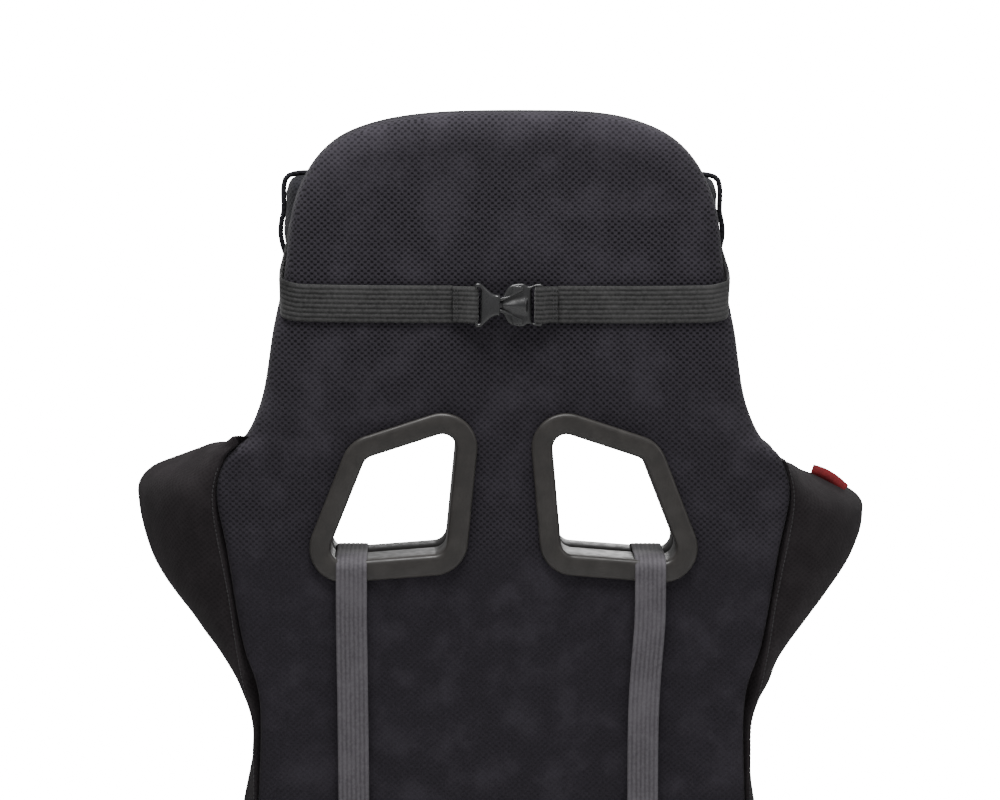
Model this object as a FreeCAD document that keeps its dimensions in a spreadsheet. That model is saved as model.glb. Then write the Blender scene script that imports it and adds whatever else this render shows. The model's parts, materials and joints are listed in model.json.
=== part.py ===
"""A reclining racing seat: a tubular frame in foam and cloth, on a pair of floor slides.

Frame: +Y is where the occupant faces, +X is the occupant's right, +Z is up, millimetres.
Origin: centre of the four floor bolts, at the underside of the lower rails.
The backrest is drawn upright about the recline hinge, with X across, Y forward and Z up
from the hinge, and is then placed on the hinge and leaned back by the recline angle.
"""

import FreeCAD, Part

import math
import os

import Sketcher

Vector = FreeCAD.Vector
SIDES = (("left", -1), ("right", 1))

# ------------------------------------------------------------------ driving dimensions

DIMENSIONS = {
    # recline hinge, and how far the stored backrest leans behind upright (degrees)
    "hinge_y": -190, "hinge_z": 170, "recline": 12, "gap": 0.4,
    # backrest: depths of the cloth-covered back panel and of the foam in front of it
    "skin_rear": -34, "skin_front": -24, "foam_front": 30,
    # harness openings: the corners of their outline before it is grown by the corner radius
    "open_round": 11, "bezel_wall": 3, "bezel_flange": 17, "bezel_thick": 4, "panel_play": 1,
    "core_top_in_x": 49.8, "core_top_in_z": 504.3, "core_top_out_x": 103, "core_top_out_z": 486.8,
    "core_low_out_x": 128.4, "core_low_out_z": 422.6, "core_low_in_x": 57, "core_low_in_z": 428.2,
    # backrest frame
    "loop_tube": 20, "cross_tube": 16, "loop_y": -12, "loop_bend": 55, "tube_play": 1.5,
    "hip_tube_x": 224, "waist_tube_x": 176, "shoulder_tube_x": 196, "neck_tube_x": 150,
    "loop_top": 732, "low_cross_z": 10, "mid_cross_z": 366, "high_cross_z": 560,
    "boss_inner_x": 214, "boss_low": -25, "boss_high": 75, "strut_half": 10,
    # elastic back webbing
    "band_half": 166, "band_tall": 36, "band_thick": 2.4, "band_first": 165, "band_pitch": 50,
    "pocket_low": 140, "pocket_high": 342,
    # recliner
    "plate_x": 234, "plate_thick": 5, "plate_gap": 1, "sector_r": 40, "tooth_deep": 4,
    "notch_half": 2, "notch_pitch": 8, "pawl_clear": 0.6,
    "pin_r": 8, "pin_play": 0.05, "pin_end_x": 258,
    "cover_x": 246, "cover_deep": 16, "cover_wall": 2.5, "cover_round": 14, "plate_bolt_z": 76,
    # release shaft with its two pawls, and the lever on its right end
    "shaft_y": -150, "shaft_z": 108, "shaft_r": 6, "lever_x": 248, "lever_thick": 4,
    "lever_reach": 205, "lever_tall": 16, "grip_long": 95, "grip_tall": 27, "grip_wide": 18,
    # head pillow, its elastic strap and the side-release buckle
    "pillow_half": 181, "pillow_rear": 34, "pillow_front": 112, "pillow_low": 588,
    "pillow_high": 717, "pillow_round": 30,
    "strap_wide": 30, "strap_thick": 1.8, "strap_z": 620, "strap_edge_x": 186,
    "strap_lift": 50, "strap_tab_y": 56, "loop_far_x": 42,
    # lumbar cushion and its two elastic straps
    "lumbar_half": 150, "lumbar_rear": 37, "lumbar_front": 98, "lumbar_low": 150,
    "lumbar_high": 345, "lumbar_round": 26,
    "band_x": 118, "band_wide": 25, "band_rear": -40.2, "band_front": 36.2, "band_top": 416.2,
    "band_low": -44, "slider_z": 150, "slider_tall": 30, "slider_wide": 32, "slider_deep": 5,
    # seat cushion and its frame
    "seat_half": 150,
    "frame_half": 226, "side_tube_wide": 20, "side_low": 58, "side_high": 88,
    "frame_rear": -215, "frame_front": 275, "cross_low": 28, "cross_wide": 30,
    "front_cross_y": 105, "rear_cross_y": -150, "seat_band_low": 84.5, "seat_band_tall": 2.5,
    # floor slides
    "rail_x": 195, "rail_half_long": 210, "rail_half_wide": 20, "rail_high": 20, "rail_wall": 3,
    "lip_open": 9, "slider_half_long": 150, "bolt_y": 165, "floor_hole_r": 4.25,
    # slide release bar
    "bar_y": 165, "bar_z": 38, "bar_r": 5, "bar_x": 172, "bar_reach_y": 318, "bar_half": 95,
    "bar_play": 0.06, "bar_pin_r": 4, "bar_grip_r": 12,
}

# Half outline of the back panel, from the hem up: height above the hinge, half width.
PANEL_STATIONS = (
    (-40, 190), (60, 200), (200, 199), (300, 198), (341, 210), (420, 223), (471, 231),
    (500, 225.5), (512, 210), (539, 196), (598, 186), (637, 180), (698, 169), (728, 155),
    (747, 135), (760, 108), (769, 60),
)

# Half outline of the foam below the head, from the hem up: height above the hinge, half width.
FOAM_STATIONS = (
    (-40, 158), (285, 157.5), (370, 175.5), (448, 189.5), (480, 195.5), (487, 197), (490, 220),
    (500, 221),
)

# Side wing, from its foot up: height, seam, inner root, outer tip, depth in front of the hinge.
WING_STATIONS = (
    (70, 200, 160, 222, 50), (170, 200, 160, 219, 85), (268, 199, 158, 208, 108),
    (352, 213, 172.6, 266, 122), (428, 226.5, 186.5, 308, 135), (461, 232, 192.5, 284, 110),
    (486, 229.5, 197.2, 240, 60),
)

# Seat bolster, from its rear end forward: place along Y, height of its crest, outer half width.
BOLSTER_STATIONS = ((-90, 196, 226), (-20, 226, 235), (150, 238, 236), (245, 226, 235), (285, 190, 226))

# Side view of the seat cushion: Y, Z.
SEAT_PROFILE = (
    (-128, 92), (-128, 158), (-60, 160), (60, 168), (200, 188), (262, 186), (290, 160), (290, 118),
    (262, 92),
)

# Side view of the lower recliner plate around the hinge and down to the frame: Y, Z.
LOWER_PLATE = (
    (-226, 158), (-218, 190), (-190, 208), (-162, 190), (-128, 140), (-62, 92), (-62, 60), (-214, 60),
)

# Side view of the recliner cover: Y, Z.
COVER_OUTLINE = ((-238, 150), (-222, 204), (-160, 206), (-92, 140), (-80, 78), (-226, 78))

# Inner face of the fixed recliner plate, off the middle of the seat.
LOWER_PLATE_INNER = "Dims.plate_x + Dims.plate_thick + Dims.plate_gap"

doc = FreeCAD.newDocument("RecliningRacingSeat")
sheet = doc.addObject("Spreadsheet::Sheet", "Dims")
for row, (alias, number) in enumerate(DIMENSIONS.items(), start=1):
    sheet.set(f"A{row}", alias)
    sheet.set(f"B{row}", str(number))
    sheet.setAlias(f"B{row}", alias)
doc.recompute()

D = {alias: f"Dims.{alias}" for alias in DIMENSIONS}


def value(expression):
    """The number that an expression over the sheet stands for."""
    return float(sheet.evalExpression(str(expression)))


# ------------------------------------------------------------------------ building blocks

def bind(item, **expressions):
    """Tie properties to the sheet. A double underscore in a name stands for a dot."""
    for name, expression in expressions.items():
        item.setExpression(name.replace("__", "."), str(expression))
    return item


def block(label, x, y, z):
    """A box between low and high expressions on each axis."""
    item = doc.addObject("Part::Box", label)
    for axis, size, (low, high) in zip("xyz", ("Length", "Width", "Height"), (x, y, z)):
        item.setExpression(f"Placement.Base.{axis}", str(low))
        item.setExpression(size, f"({high}) - ({low})")
    return item


TURN_TO = {
    "x": FreeCAD.Rotation(Vector(0, 1, 0), 90),
    "y": FreeCAD.Rotation(Vector(1, 0, 0), -90),
    "z": FreeCAD.Rotation(),
}


def rod(label, axis, start, radius, length):
    """A cylinder that runs along an axis from a start point."""
    item = doc.addObject("Part::Cylinder", label)
    item.Placement = FreeCAD.Placement(Vector(), TURN_TO[axis])
    x, y, z = start
    return bind(item, Placement__Base__x=x, Placement__Base__y=y, Placement__Base__z=z,
                Radius=radius, Height=length)


LOOK = {
    "XY": (FreeCAD.Rotation(), "z"),
    "XZ": (FreeCAD.Rotation(Vector(1, 0, 0), 90), "y"),
    "YZ": (FreeCAD.Rotation(Vector(1, 1, 1), 120), "x"),
}


def draw_polygon(sketch, points):
    """Draw a closed polygon in a sketch and hold each corner by its two expressions."""
    corners = [Vector(value(across), value(up), 0) for across, up in points]
    count = len(points)
    for i in range(count):
        sketch.addGeometry(Part.LineSegment(corners[i], corners[(i + 1) % count]), False)
    for i in range(count):
        sketch.addConstraint(Sketcher.Constraint("Coincident", i, 2, (i + 1) % count, 1))
    for i, corner in enumerate(corners):
        for kind, number, expression in zip(("DistanceX", "DistanceY"), corner[:2], points[i]):
            held = sketch.addConstraint(Sketcher.Constraint(kind, -1, 1, i, 1, number))
            sketch.setExpression(f"Constraints[{held}]", str(expression))


def outline(label, plane, points, at=0):
    """A closed polygon in a plane, every corner held by expressions."""
    sketch = doc.addObject("Sketcher::SketchObject", label)
    turn, axis = LOOK[plane]
    sketch.Placement = FreeCAD.Placement(Vector(), turn)
    sketch.setExpression(f"Placement.Base.{axis}", str(at))
    draw_polygon(sketch, points)
    return sketch


def extrude(label, source, axis, length):
    """A solid from a closed outline, along an axis."""
    item = doc.addObject("Part::Extrusion", label)
    item.Base = source
    item.DirMode = "Custom"
    item.Dir = {"x": Vector(1, 0, 0), "y": Vector(0, 1, 0), "z": Vector(0, 0, 1)}[axis]
    item.Solid = True
    return bind(item, LengthFwd=length)


def grown(label, source, distance):
    """An outline grown by a distance, with round corners."""
    item = doc.addObject("Part::Offset2D", label)
    item.Source = source
    item.Join = 0
    return bind(item, Value=distance)


def cut(label, base, *tools):
    """One solid less the others."""
    result = base
    for number, tool in enumerate(tools, start=1):
        step = doc.addObject("Part::Cut", f"{label}_cut_{number}")
        step.Base = result
        step.Tool = tool
        result = step
    return result


def fuse(label, *pieces):
    """Several solids welded into one."""
    item = doc.addObject("Part::MultiFuse", label)
    item.Shapes = list(pieces)
    return item


def loft(label, sections):
    """Straight-sided skin through closed sections."""
    item = doc.addObject("Part::Loft", label)
    item.Sections = list(sections)
    item.Solid = True
    item.Ruled = True
    return item


def rounded_path(points, bend):
    """Straight runs joined by arcs of one bend radius, in one wire."""
    edges = []
    start = points[0]
    for before, corner, after in zip(points, points[1:], points[2:]):
        inward = (before - corner).normalize()
        outward = (after - corner).normalize()
        half = inward.getAngle(outward) / 2
        reach = bend / math.tan(half)
        first = corner + inward * reach
        last = corner + outward * reach
        middle = (inward + outward).normalize() * (bend / math.sin(half) - bend)
        edges.append(Part.LineSegment(start, first).toShape())
        edges.append(Part.Arc(first, corner + middle, last).toShape())
        start = last
    edges.append(Part.LineSegment(start, points[-1]).toShape())
    return Part.Wire(edges)


def bent_rod(points, bend, radius):
    """A round bar along a rounded path."""
    path = rounded_path(points, bend)
    ring = Part.Circle(points[0], points[1] - points[0], radius).toShape()
    return path.makePipeShell([Part.Wire([ring])], True, True)


def plain(label, shape):
    """A shape made by Part's own functions from sheet values."""
    item = doc.addObject("Part::Feature", label)
    item.Shape = shape
    return item


def cushion(label, x, y, z, rounding):
    """A pad with every edge rounded, as a PartDesign body."""
    body = doc.addObject("PartDesign::Body", label)
    plane = [item for item in body.Origin.OriginFeatures if item.Role == "XZ_Plane"][0]
    sketch = body.newObject("Sketcher::SketchObject", label + "_face")
    sketch.AttachmentSupport = [(plane, "")]
    sketch.MapMode = "FlatFace"
    draw_polygon(sketch, [(x[0], z[0]), (x[1], z[0]), (x[1], z[1]), (x[0], z[1])])
    pad = body.newObject("PartDesign::Pad", label + "_pad")
    pad.Profile = sketch
    pad.Reversed = True
    pad.setExpression("Length", f"({y[1]}) - ({y[0]})")
    doc.recompute()
    edges = [f"Edge{i + 1}" for i in range(len(pad.Shape.Edges))]
    rounded = body.newObject("PartDesign::Fillet", label + "_round")
    rounded.Base = (pad, edges)
    rounded.setExpression("Radius", rounding)
    body.setExpression("Placement.Base.y", str(y[0]))
    return body


nodes = []


def node(name, *pieces, leaning=False):
    """Name one sub-part of the seat and put it in its place."""
    item = doc.addObject("Part::Compound", name)
    item.Label = name
    item.Links = list(pieces)
    if leaning:
        lean = FreeCAD.Rotation(Vector(1, 0, 0), value(D["recline"]))
        item.Placement = FreeCAD.Placement(Vector(), lean)
        bind(item, Placement__Base__y=D["hinge_y"], Placement__Base__z=D["hinge_z"],
             Placement__Rotation__Angle=D["recline"])
    nodes.append(item)
    return item


def spread(side, low, high):
    """Low and high X on one side of the seat, from distances off its middle."""
    return (low, high) if side > 0 else (f"-({high})", f"-({low})")


def rod_across(label, side, inner, outer, y, z, radius):
    """A rod along X on one side, between two distances off the middle."""
    low, high = spread(side, inner, outer)
    return rod(label, "x", (low, y, z), radius, f"({high}) - ({low})")


# ------------------------------------------------------------------------- floor slides

def floor_slides():
    """Two channel rails on the floor and the sliders that run in them."""
    for name, side in SIDES:
        def channel(points):
            return [(f"{side} * Dims.rail_x + ({x})", z) for x, z in points]
        half, wall, lip = "Dims.rail_half_wide", "Dims.rail_wall", "Dims.lip_open"
        section = channel([
            (f"-{half}", 0), (half, 0), (half, "Dims.rail_high"), (lip, "Dims.rail_high"),
            (lip, f"Dims.rail_high - {wall}"), (f"{half} - {wall}", f"Dims.rail_high - {wall}"),
            (f"{half} - {wall}", wall), (f"-{half} + {wall}", wall),
            (f"-{half} + {wall}", f"Dims.rail_high - {wall}"), (f"-{lip}", f"Dims.rail_high - {wall}"),
            (f"-{lip}", "Dims.rail_high"), (f"-{half}", "Dims.rail_high")])
        face = outline(f"lower_rail_section_{name}", "XZ", section, "-Dims.rail_half_long")
        rail = extrude(f"lower_rail_run_{name}", face, "y", "2 * Dims.rail_half_long")
        holes = [rod(f"floor_hole_{name}_{place}", "z",
                     (f"{side} * Dims.rail_x", f"{place} * Dims.bolt_y", -1),
                     D["floor_hole_r"], "Dims.rail_wall + 2") for place in (-1, 1)]
        node(f"lower_rail_{name}", cut(f"lower_rail_{name}", rail, *holes))
        flange, neck = 14, 7
        inner = channel([
            (-flange, 9), (flange, 9), (flange, 14), (neck, 14), (neck, 24), (18, 24), (18, 28), (-18, 28),
            (-18, 24), (-neck, 24), (-neck, 14), (-flange, 14)])
        face = outline(f"upper_rail_section_{name}", "XZ", inner, "-Dims.slider_half_long")
        node(f"upper_rail_{name}",
             extrude(f"upper_rail_run_{name}", face, "y", "2 * Dims.slider_half_long"))
    pads = [block(f"slide_pad_{name}_{place}",
                  (f"{side} * Dims.rail_x - 13", f"{side} * Dims.rail_x + 13"),
                  (f"{place} * 75 - 20", f"{place} * 75 + 20"), ("Dims.rail_wall + 0.3", 9))
            for name, side in SIDES for place in (-1, 1)]
    node("slide_pads", *pads)


# --------------------------------------------------------------------------- seat base

def side_view(label, side, points, inner, thick):
    """A plate standing fore and aft, from its side view."""
    face = outline(f"{label}_outline", "YZ", points, spread(side, inner, f"{inner} + {thick}")[0])
    return extrude(f"{label}_plate", face, "x", thick)


def base_frame():
    """Welded seat frame: two side tubes, cross members, plate blocks and pins for the release bar."""
    half, wide = "Dims.frame_half", "Dims.side_tube_wide"
    level = ("Dims.side_low", "Dims.side_high")
    parts = []
    for name, side in SIDES:
        parts.append(block(f"side_tube_{name}", spread(side, f"{half} - {wide}", half),
                           ("Dims.frame_rear", "Dims.frame_front"), level))
        for place, y in (("rear", -205), ("front", -95)):
            parts.append(block(f"plate_block_{place}_{name}", spread(side, half, LOWER_PLATE_INNER),
                               (y - 9, y + 19), level))
        parts.append(block(f"bar_ear_{name}", spread(side, f"{half} - {wide}", f"{half} - {wide} + 6"),
                           ("Dims.bar_y - 10", "Dims.bar_y + 10"), ("Dims.bar_z - 9", "Dims.side_low")))
        parts.append(rod_across(f"bar_pin_{name}", side, "Dims.bar_x - 7", f"{half} - {wide}",
                                D["bar_y"], D["bar_z"], D["bar_pin_r"]))
    for place, y in (("front", "Dims.front_cross_y"), ("rear", "Dims.rear_cross_y")):
        parts.append(block(f"cross_{place}", (f"-{half}", half),
                           (y, f"{y} + Dims.cross_wide"), ("Dims.cross_low", "Dims.side_low")))
    for place, y in (("nose", "Dims.frame_front - 20"), ("tail", "Dims.frame_rear")):
        parts.append(block(f"cross_{place}", (f"-{half}", half), (y, f"{y} + 20"), level))
    node("base_frame", fuse("base_frame_weld", *parts))


def seat_cushions():
    """Foam seat, its two side bolsters and the elastic bands below."""
    face = outline("seat_side_view", "YZ", SEAT_PROFILE, "-Dims.seat_half")
    node("base_foam", extrude("seat_foam", face, "x", "2 * Dims.seat_half"))
    for name, side in SIDES:
        sections = []
        for place, (y, crest, outer) in enumerate(BOLSTER_STATIONS):
            points = [
                (f"{side} * (Dims.seat_half + {D['gap']})", 92),
                (f"{side} * (Dims.seat_half + {D['gap']})", crest - 42),
                (f"{side} * {outer - 50}", crest - 6), (f"{side} * {outer - 20}", crest),
                (f"{side} * {outer}", crest - 34), (f"{side} * {outer - 4}", 92)]
            sections.append(outline(f"bolster_section_{name}_{place}", "XZ", points, y))
        node(f"base_bolster_{name}", loft(f"bolster_skin_{name}", sections))
    across = ("-Dims.frame_half + Dims.side_tube_wide", "Dims.frame_half - Dims.side_tube_wide")
    level = ("Dims.seat_band_low", "Dims.seat_band_low + Dims.seat_band_tall")
    bands = [block(f"seat_band_{place}", across, (-110 + 85 * place, -65 + 85 * place), level)
             for place in range(4)]
    node("seat_webbing", *bands)


def lower_plates():
    """Fixed halves of the recliner, their hinge pins, bolts and covers."""
    inner, bolt_z = LOWER_PLATE_INNER, D["plate_bolt_z"]
    bolts = []
    for name, side in SIDES:
        plate = side_view(f"lower_plate_{name}", side, LOWER_PLATE, inner, D["plate_thick"])
        bores = [rod_across(f"hinge_bore_{name}", side, f"{inner} - 1", f"{inner} + 9",
                            D["hinge_y"], D["hinge_z"], D["pin_r"]),
                 rod_across(f"shaft_bore_{name}", side, f"{inner} - 1", f"{inner} + 9",
                            D["shaft_y"], D["shaft_z"], "Dims.shaft_r + Dims.pin_play")]
        for place, y in (("rear", -200), ("front", -90)):
            tag = f"{place}_{name}"
            bores.append(rod_across(f"bolt_hole_{tag}", side, f"{inner} - 1", f"{inner} + 9",
                                    y, bolt_z, 4.1))
            shank = rod_across(f"bolt_shank_{tag}", side, inner, f"{inner} + 5", y, bolt_z, 4)
            head = rod_across(f"bolt_head_{tag}", side, f"{inner} + 5", f"{inner} + 10", y, bolt_z, 6.5)
            bolts.append(fuse(f"plate_bolt_{place}_{name}", shank, head))
        node(f"recliner_lower_plate_{name}", cut(f"lower_plate_{name}", plate, *bores))
        node(f"hinge_pin_{name}",
             rod_across(f"hinge_rod_{name}", side, "Dims.plate_x + 0.5", D["pin_end_x"],
                        D["hinge_y"], D["hinge_z"], D["pin_r"]))
    node("frame_bolts", *bolts)


def recliner_covers():
    """Moulded shells over the recliner plates; the right one has a mouth for the lever."""
    for name, side in SIDES:
        low = spread(side, "Dims.cover_x", "Dims.cover_x + Dims.cover_deep")[0]
        core = outline(f"cover_core_{name}", "YZ", COVER_OUTLINE, low)
        hollow_at = low if side > 0 else f"{low} + Dims.cover_wall"
        core_in = outline(f"cover_hollow_core_{name}", "YZ", COVER_OUTLINE, hollow_at)
        edge = grown(f"cover_edge_{name}", core, D["cover_round"])
        inner_edge = grown(f"cover_hollow_edge_{name}", core_in, "Dims.cover_round - Dims.cover_wall")
        shell = extrude(f"cover_block_{name}", edge, "x", D["cover_deep"])
        hollow = extrude(f"cover_hollow_{name}", inner_edge, "x", "Dims.cover_deep - Dims.cover_wall")
        tools = [hollow]
        if side > 0:
            tools.append(block("lever_mouth", (f"{low} - 1", "Dims.cover_x + 8"), (-125, -50), (96, 150)))
        node(f"recliner_cover_{name}", cut(f"recliner_cover_{name}", shell, *tools))


def spiral_strip(turns, inner_r, outer_r, strip, wide):
    """A flat clock spring: a strip wound from an inner to an outer radius in the YZ plane."""
    steps = int(turns * 24)

    def ring(shift):
        places = []
        for step in range(steps + 1):
            angle = 2 * math.pi * turns * step / steps
            radius = inner_r + (outer_r - inner_r) * step / steps + shift
            places.append(Vector(0, radius * math.cos(angle), radius * math.sin(angle)))
        return places

    loop = ring(strip / 2) + list(reversed(ring(-strip / 2)))
    face = Part.Face(Part.makePolygon(loop + loop[:1]))
    return face.extrude(Vector(wide, 0, 0))


def springs():
    """Clock spring that raises the backrest, and the coil that returns the recline lever."""
    strip = plain("clock_strip", spiral_strip(3.25, 9.2, 31, 1.6, 7))
    strip.Placement = FreeCAD.Placement(
        Vector(-value(D["pin_end_x"]), value(D["hinge_y"]), value(D["hinge_z"])), FreeCAD.Rotation())
    node("recline_spring", strip)
    coil = rod("coil_outer", "x", (227, D["shaft_y"], D["shaft_z"]), "Dims.shaft_r + 3", 6.5)
    core = rod("coil_inner", "x", (226, D["shaft_y"], D["shaft_z"]), "Dims.shaft_r + 0.4", 9)
    node("lever_spring", cut("lever_spring", coil, core))


def release_bar():
    """U-shaped bar under the seat's nose that frees the slides when its front is lifted."""
    bar_y, bar_z, bar_x, reach, half, radius, bend = [value(D[k]) for k in (
        "bar_y", "bar_z", "bar_x", "bar_reach_y", "bar_half", "bar_r", "loop_bend")]
    right = [(bar_x, bar_y + 6), (bar_x, reach - 60), (half, reach)]
    points = [Vector(-x, y, bar_z) for x, y in right] + [Vector(x, y, bar_z) for x, y in reversed(right)]
    bar = plain("bar_run", bent_rod(points, bend / 2, radius))
    parts = [bar]
    for name, side in SIDES:
        parts.append(rod_across(f"bar_eye_{name}", side, "Dims.bar_x - 6.5", "Dims.bar_x + 6.5",
                                D["bar_y"], D["bar_z"], 9))
    bores = [rod_across(f"bar_bore_{name}", side, "Dims.bar_x - 9", "Dims.bar_x + 9",
                        D["bar_y"], D["bar_z"], "Dims.bar_pin_r + Dims.bar_play") for name, side in SIDES]
    node("slide_release_bar", cut("slide_release_bar", fuse("bar_weld", *parts), *bores))
    sleeve = rod("grip_sleeve", "x", (-60, D["bar_reach_y"], D["bar_z"]), D["bar_grip_r"], 120)
    inside = rod("grip_inside", "x", (-61, D["bar_reach_y"], D["bar_z"]), D["bar_r"], 122)
    node("release_grip", cut("release_grip", sleeve, inside))


# ------------------------------------------------------------- recline lever and pawls

def release_shaft():
    """Cross shaft under the backrest with a pawl for each side and the lever on its right end."""
    node("release_shaft", rod("release_rod", "x", ("-Dims.cover_x - 2", D["shaft_y"], D["shaft_z"]),
                              D["shaft_r"], "Dims.lever_x + Dims.cover_x + 2"))
    for name, side in SIDES:
        y, z = value(D["shaft_y"]), value(D["shaft_z"])
        nose_y = value(D["hinge_y"])
        tip_z = value(D["hinge_z"]) - value(D["sector_r"]) - value(D["pawl_clear"])
        points = [(y + 9, z), (y + 3, z + 10), (nose_y + 9, tip_z - 8), (nose_y + 2, tip_z - 6),
                  (nose_y + 1.4, tip_z), (nose_y - 1.4, tip_z), (nose_y - 2, tip_z - 6),
                  (nose_y - 8, tip_z - 9), (nose_y - 7, tip_z - 17), (y - 4, z - 10)]
        arm = side_view(f"pawl_{name}", side, points, D["plate_x"], D["plate_thick"])
        hub = rod_across(f"pawl_hub_{name}", side, D["plate_x"], "Dims.plate_x + Dims.plate_thick",
                         D["shaft_y"], D["shaft_z"], 11)
        bore = rod_across(f"pawl_bore_{name}", side, "Dims.plate_x - 1", "Dims.plate_x + 7",
                          D["shaft_y"], D["shaft_z"], D["shaft_r"])
        node(f"lock_pawl_{name}", cut(f"lock_pawl_{name}", fuse(f"pawl_weld_{name}", arm, hub), bore))
    y, z, reach, tall = [value(D[k]) for k in ("shaft_y", "shaft_z", "lever_reach", "lever_tall")]
    points = [(y, z - 11), (y + 50, z - tall / 2), (y + reach, z + 6), (y + reach, z + 6 + tall),
              (y + 50, z + tall / 2), (y, z + 11)]
    blade = side_view("lever", 1, points, D["lever_x"], D["lever_thick"])
    hub = rod_across("lever_hub", 1, D["lever_x"], "Dims.lever_x + Dims.lever_thick",
                     D["shaft_y"], D["shaft_z"], 14)
    node("recline_lever", fuse("lever_weld", blade, hub))
    middle_z = z + 6 + tall / 2 - 1
    middle_x = "Dims.lever_x + Dims.lever_thick / 2"
    across = (f"{middle_x} - Dims.grip_wide / 2", f"{middle_x} + Dims.grip_wide / 2")
    along = (f"{y + reach + 25} - Dims.grip_long", y + reach + 25)
    upright = (f"{middle_z} - Dims.grip_tall / 2", f"{middle_z} + Dims.grip_tall / 2")
    grip = cushion("lever_grip_body", across, along, upright, "6")
    node("lever_grip", cut("lever_grip", grip, blade))


# ------------------------------------------------------------------------- backrest

def both_sides(stations):
    """Turn (height, half width) stations into a closed outline."""
    right = [(half, height) for height, half in stations]
    left = [(-half, height) for height, half in reversed(stations)]
    return right + left


def opening_core(label, side, at):
    """Outline of a harness opening before its corners are rounded."""
    corners = [(f"{side} * Dims.core_{place}_x", f"Dims.core_{place}_z")
               for place in ("top_in", "top_out", "low_out", "low_in")]
    return outline(label, "XZ", corners, at)


def opening_block(label, side, low, high, growth):
    """A solid plug of a harness opening's outline, grown and run between two depths."""
    core = opening_core(f"{label}_core", side, low)
    return extrude(label, grown(f"{label}_edge", core, growth), "y", f"({high}) - ({low})")


def frame_solid(play):
    """Backrest tube loop with its cross tubes, thicker by the play when it cuts its bed in foam."""
    names = ("hip_tube_x", "waist_tube_x", "shoulder_tube_x", "neck_tube_x", "loop_y", "loop_top",
             "boss_low", "loop_bend", "loop_tube", "cross_tube")
    hip, waist, shoulder, neck, y, top, low, bend, tube, cross = [value(D[k]) for k in names]
    right = [(hip, low), (hip, 62), (waist, 150), (waist, 320), (shoulder, 470), (neck, 580),
             (neck - 8, top - 12)]
    points = [Vector(-x, y, z) for x, z in right] + [Vector(x, y, z) for x, z in reversed(right)]
    solid = bent_rod(points, bend * 0.9, tube / 2 + play)
    low_z, mid_z, high_z = [value(D[k]) for k in ("low_cross_z", "mid_cross_z", "high_cross_z")]
    for half, z in ((hip, low_z), (waist + 6, mid_z), (neck + 8, high_z)):
        bar = Part.makeCylinder(cross / 2 + play, 2 * half, Vector(-half, y, z), Vector(1, 0, 0))
        solid = solid.fuse(bar)
    strut = value(D["strut_half"]) + play
    stay = Part.makeBox(2 * strut, 4 + 2 * play, high_z - mid_z, Vector(-strut, y - 2 - play, mid_z))
    return solid.fuse(stay)


def backrest_shell():
    """Cloth-covered back panel, front foam and the two side wings, cut for openings and frame."""
    plugs = [opening_block(f"opening_plug_{name}", side, "Dims.skin_rear - 5", "Dims.foam_front + 5",
                           "Dims.open_round + Dims.bezel_wall + Dims.panel_play") for name, side in SIDES]
    face = outline("panel_outline", "XZ", both_sides(PANEL_STATIONS), D["skin_rear"])
    panel = extrude("panel_block", face, "y", "Dims.skin_front - Dims.skin_rear")
    node("rear_cover", cut("rear_cover", panel, *plugs), leaning=True)
    foam_stations = list(FOAM_STATIONS) + [place for place in PANEL_STATIONS if place[0] > 510]
    face = outline("foam_outline", "XZ", both_sides(foam_stations), D["skin_front"])
    block_of_foam = extrude("foam_block", face, "y", "Dims.foam_front - Dims.skin_front")
    bed = plain("frame_bed", frame_solid(value(D["tube_play"])))
    pocket = block("web_pocket", ("-Dims.band_half - 1", "Dims.band_half + 1"), ("Dims.skin_front - 1", 0),
                   (D["pocket_low"], D["pocket_high"]))
    node("backrest_foam", cut("backrest_foam", block_of_foam, bed, pocket, *plugs), leaning=True)
    for name, side in SIDES:
        sections = []
        for place, (height, seam, root, tip, depth) in enumerate(WING_STATIONS):
            points = [(seam + 0.3, -34), (seam + 0.3, -24), (root, -24), (root, 30), (tip - 42, depth - 8),
                      (tip - 20, depth), (tip, depth - 26)]
            placed = [(f"{side} * {x}", y) for x, y in points]
            sections.append(outline(f"wing_section_{name}_{place}", "XY", placed, height))
        skin = loft(f"wing_skin_{name}", sections)
        node(f"wing_{name}", cut(f"wing_{name}", skin, bed, pocket), leaning=True)


def backrest_frame():
    """Welded tube loop with a flat boss at each hip for the recliner plates, and its webbing."""
    loop = plain("frame_loop", frame_solid(0))
    bosses = [block(f"hip_boss_{name}", spread(side, D["boss_inner_x"], D["plate_x"]),
                    ("Dims.loop_y - Dims.loop_tube / 2", "Dims.loop_y + Dims.loop_tube / 2"),
                    (D["boss_low"], D["boss_high"])) for name, side in SIDES]
    node("backrest_frame", fuse("frame_weld", loop, *bosses), leaning=True)
    bands = [block(f"back_band_{place}", ("-Dims.band_half", "Dims.band_half"),
                   ("Dims.loop_y", "Dims.loop_y + Dims.band_thick"),
                   (f"Dims.band_first + {place} * Dims.band_pitch - Dims.band_tall / 2",
                    f"Dims.band_first + {place} * Dims.band_pitch + Dims.band_tall / 2"))
             for place in range(4)]
    node("back_webbing", *bands, leaning=True)


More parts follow.
